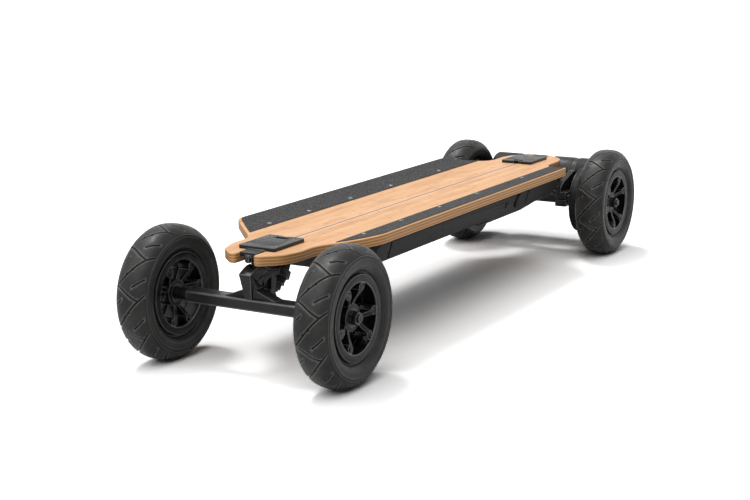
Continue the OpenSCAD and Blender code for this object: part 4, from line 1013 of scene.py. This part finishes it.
sectorPoints, sectorFaces, sectorMarks = treadSector()
for end, axleY in (("front", frontAxleY), ("rear", rearAxleY)):
    for label, side in (("left", 1), ("right", -1)):
        makeTyre(end + "_" + label, side, axleY)
print("tyres made")

# Dressed copies of the construction's own pieces: shared corners, softened edges, no live modifier
dressing = {"weld": 0.002 * mm, "flatAngle": 0.7, "segments": 2, "bevelAngle": 30, "smoothAngle": 34}
bevelOf = {
    "front_hanger": 0.9, "rear_hanger": 0.9, "front_baseplate": 0.8, "rear_baseplate": 0.8,
    "motor_mounts": 0.8, "motor_housings": 0.6, "belt_guards": 0.5, "enclosure": 1.2,
    "charge_cap": 0.6, "power_button": 0.5,
}
axlePieces = {
    "axle_bar": ("hangerCoat", 0.9, "wornEdge"), "kingpin_nut": ("darkSteel", 0.4),
    "kingpin": ("darkSteel", 0.4), "bushings": ("softRubber", 0.6), "axle_nuts": ("darkSteel", 0.4),
}
hubLook = ("hubPlastic", 0.6, "wornEdge")


def dressed(node, finish, bevel, bevelWearAndGlint=None):
    shape = bmesh.new()
    shape.from_mesh(frame["nodes"][node].data)
    bmesh.ops.remove_doubles(shape, verts=shape.verts, dist=dressing["weld"])
    bmesh.ops.dissolve_degenerate(shape, edges=shape.edges, dist=dressing["weld"])
    flat = math.radians(dressing["flatAngle"])
    bmesh.ops.dissolve_limit(shape, angle_limit=flat, verts=shape.verts, edges=shape.edges)
    mesh = bpy.data.meshes.new(node + ".dressed")
    shape.to_mesh(mesh)
    shape.free()
    if "custom_normal" in mesh.attributes:
        mesh.attributes.remove(mesh.attributes["custom_normal"])
    made = link(node + ".dressed", mesh)
    mesh.materials.append(materials[finish])
    if bevelWearAndGlint:
        mesh.materials.append(materials[bevelWearAndGlint])
    soften = made.modifiers.new("soften", "BEVEL")
    soften.width = bevel * mm
    soften.segments = dressing["segments"]
    soften.limit_method = "ANGLE"
    soften.angle_limit = math.radians(dressing["bevelAngle"])
    soften.use_clamp_overlap = False
    # bevel faces take the second material: edge wear with a painted highlight
    soften.material = 1 if bevelWearAndGlint else -1
    smoothShade(evaluated(made), dressing["smoothAngle"])
    finishPiece(made, bodyOf[node], None, slotOf[node], node)


for node, bevel in bevelOf.items():
    dressed(node, finishOfSlot[slotOf[node]], bevel, "wornEdge" if slotOf[node] == "black_metal" else None)
for end in ("front", "rear"):
    for piece, look in axlePieces.items():
        dressed(end + "_" + piece, *look)
    for label in ("left", "right"):
        for half in ("outer", "inner"):
            dressed("hub_" + half + "_" + end + "_" + label, *hubLook)
print("construction pieces dressed")

# Deck screws, copied on points; in millimetres
screw = {
    "x": 73.0, "ys": (-280, -181, -69, 51, 210), "lift": 0.15, "turnPerMm": 0.3, "sides": 24,
    "profile": [(2.0, -22.0), (2.0, -1.6), (3.5, -0.2), (3.6, 0.3), (3.25, 1.0), (2.6, 1.55)],
    "socketRadius": 1.5, "socketDepth": 1.1, "smoothAngle": 32,
}


def screwTemplate(values):
    # revolved about Z from (radius, height), with a six-sided recess in its top
    sides, profile = values["sides"], values["profile"]
    turns = [2 * math.pi * i / sides for i in range(sides)]
    flat = values["socketRadius"] * math.cos(math.pi / 6)
    reaches = [flat / math.cos(turn % (math.pi / 3) - math.pi / 6) for turn in turns]
    rings = [(height, [radius] * sides) for radius, height in profile]
    rings += [(profile[-1][1] - drop, reaches) for drop in (0, values["socketDepth"])]
    points = [
        (radius * math.cos(turn) * mm, radius * math.sin(turn) * mm, height * mm)
        for height, radii in rings for radius, turn in zip(radii, turns)
    ]
    floor = tuple((len(rings) - 1) * sides + i for i in range(sides))
    return link("screwTemplate", meshFrom("screwTemplate", points, ringFaces(len(rings), sides) + [floor]))


def copiesPiece(name, template, spots, material):
    # spots: (place, rotation) of each copy
    mesh = meshFrom(name, [place for place, _ in spots], [])
    turn = mesh.attributes.new("turn", "FLOAT_VECTOR", "POINT")
    turn.data.foreach_set("vector", [v for _, angles in spots for v in angles])
    made = link(name, mesh)
    addTree(made, copiesOnPoints, {"Piece": template, "Finish": material})
    smoothShade(evaluated(made), screw["smoothAngle"])
    return made


template = screwTemplate(screw)
tilt = math.atan(2 * deck["rise"] * (screw["x"] - deck["flatHalf"]) / curvedWidth ** 2)
height = (deck["top"] + concave(screw["x"]) + screw["lift"]) * mm
spots = [
    ((side * screw["x"] * mm, boardMidY + y * mm, height), (0, -side * tilt, screw["turnPerMm"] * y))
    for side in (-1, 1) for y in screw["ys"]
]
made = copiesPiece("deckScrews", template, spots, materials["screwSteel"])
finishPiece(made, "board", materials["screwSteel"], "bright_steel", "enclosure_screws")
bpy.data.objects.remove(template)
print("screws made")

# The construction's other pieces keep their shape and take their finish
for node, made in frame["nodes"].items():
    if not made.hide_render:
        made.data.materials.clear()
        made.data.materials.append(materials[finishOfNode.get(node, finishOfSlot[slotOf[node]])])

for made, line in cablePieces:
    made.data.materials.append(materials["softRubber"])
    start, end = (line[0].x, rearAxleY - 0.12, 0.125), (line[0].x, rearAxleY + 0.02, 0.118)
    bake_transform(made)
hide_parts("motor_cables")

# Floor, surroundings and suns: half side in metres; a sun's power, its angle in degrees and where it is
studio = {
    "floor": 0.85, "floorSeen": 1.5, "floorHalf": 40, "ambient": 0.07,
    "suns": {"keyLight": (2.5, 86.0, (-0.06, -0.4, 1.0)), "rimLight": (1.0, 14.0, (-0.4, 0.2, 1.0))},
}


def floorMaterial(values):
    # brighter for the camera than for the light it sends on, so that only the shadow is left of it
    made = bpy.data.materials.new("paleFloor")
    tree = emptyTree(made)
    seen = addNode(tree, "ShaderNodeLightPath").outputs["Is Camera Ray"]
    tone = mathNode(tree, "MULTIPLY", seen, values["floorSeen"] - values["floor"])
    matt = addNode(tree, "ShaderNodeBsdfDiffuse", {"Color": mathNode(tree, "ADD", tone, values["floor"])})
    addNode(tree, "ShaderNodeOutputMaterial", {"Surface": matt.outputs[0]})
    return made


def makeSurroundings(values):
    # white where the camera, a reflection or a see-through ray meets them, a faint light elsewhere
    world = bpy.data.worlds.new("surroundings")
    bpy.context.scene.world = world
    tree = emptyTree(world)
    path = addNode(tree, "ShaderNodeLightPath").outputs
    direct = mathNode(tree, "MAXIMUM", path["Is Camera Ray"], path["Is Glossy Ray"])
    direct = mathNode(tree, "MAXIMUM", direct, path["Is Transmission Ray"])
    level = mathNode(tree, "MULTIPLY", direct, 1 - values["ambient"])
    level = mathNode(tree, "ADD", level, values["ambient"])
    sky = addNode(tree, "ShaderNodeBackground", {"Color": (1, 1, 1, 1), "Strength": level})
    addNode(tree, "ShaderNodeOutputWorld", {"Surface": sky.outputs[0]})


def addSun(name, power, angle, comesFrom):
    data = bpy.data.lights.new(name, "SUN")
    data.energy = power
    data.angle = math.radians(angle)
    made = link(name, data)
    made.matrix_world = Vector(comesFrom).to_track_quat("Z", "Y").to_matrix().to_4x4()


far = studio["floorHalf"]
corners = [(-far, -far, 0), (far, -far, 0), (far, far, 0), (-far, far, 0)]
floor = link("floor", meshFrom("floor", corners, [(0, 1, 2, 3)]))
floor.data.materials.append(floorMaterial(studio))
makeSurroundings(studio)
for name, (power, angle, comesFrom) in studio["suns"].items():
    addSun(name, power, angle, comesFrom)
bpy.context.scene.view_settings.view_transform = "Standard"
print("floor and lights made")
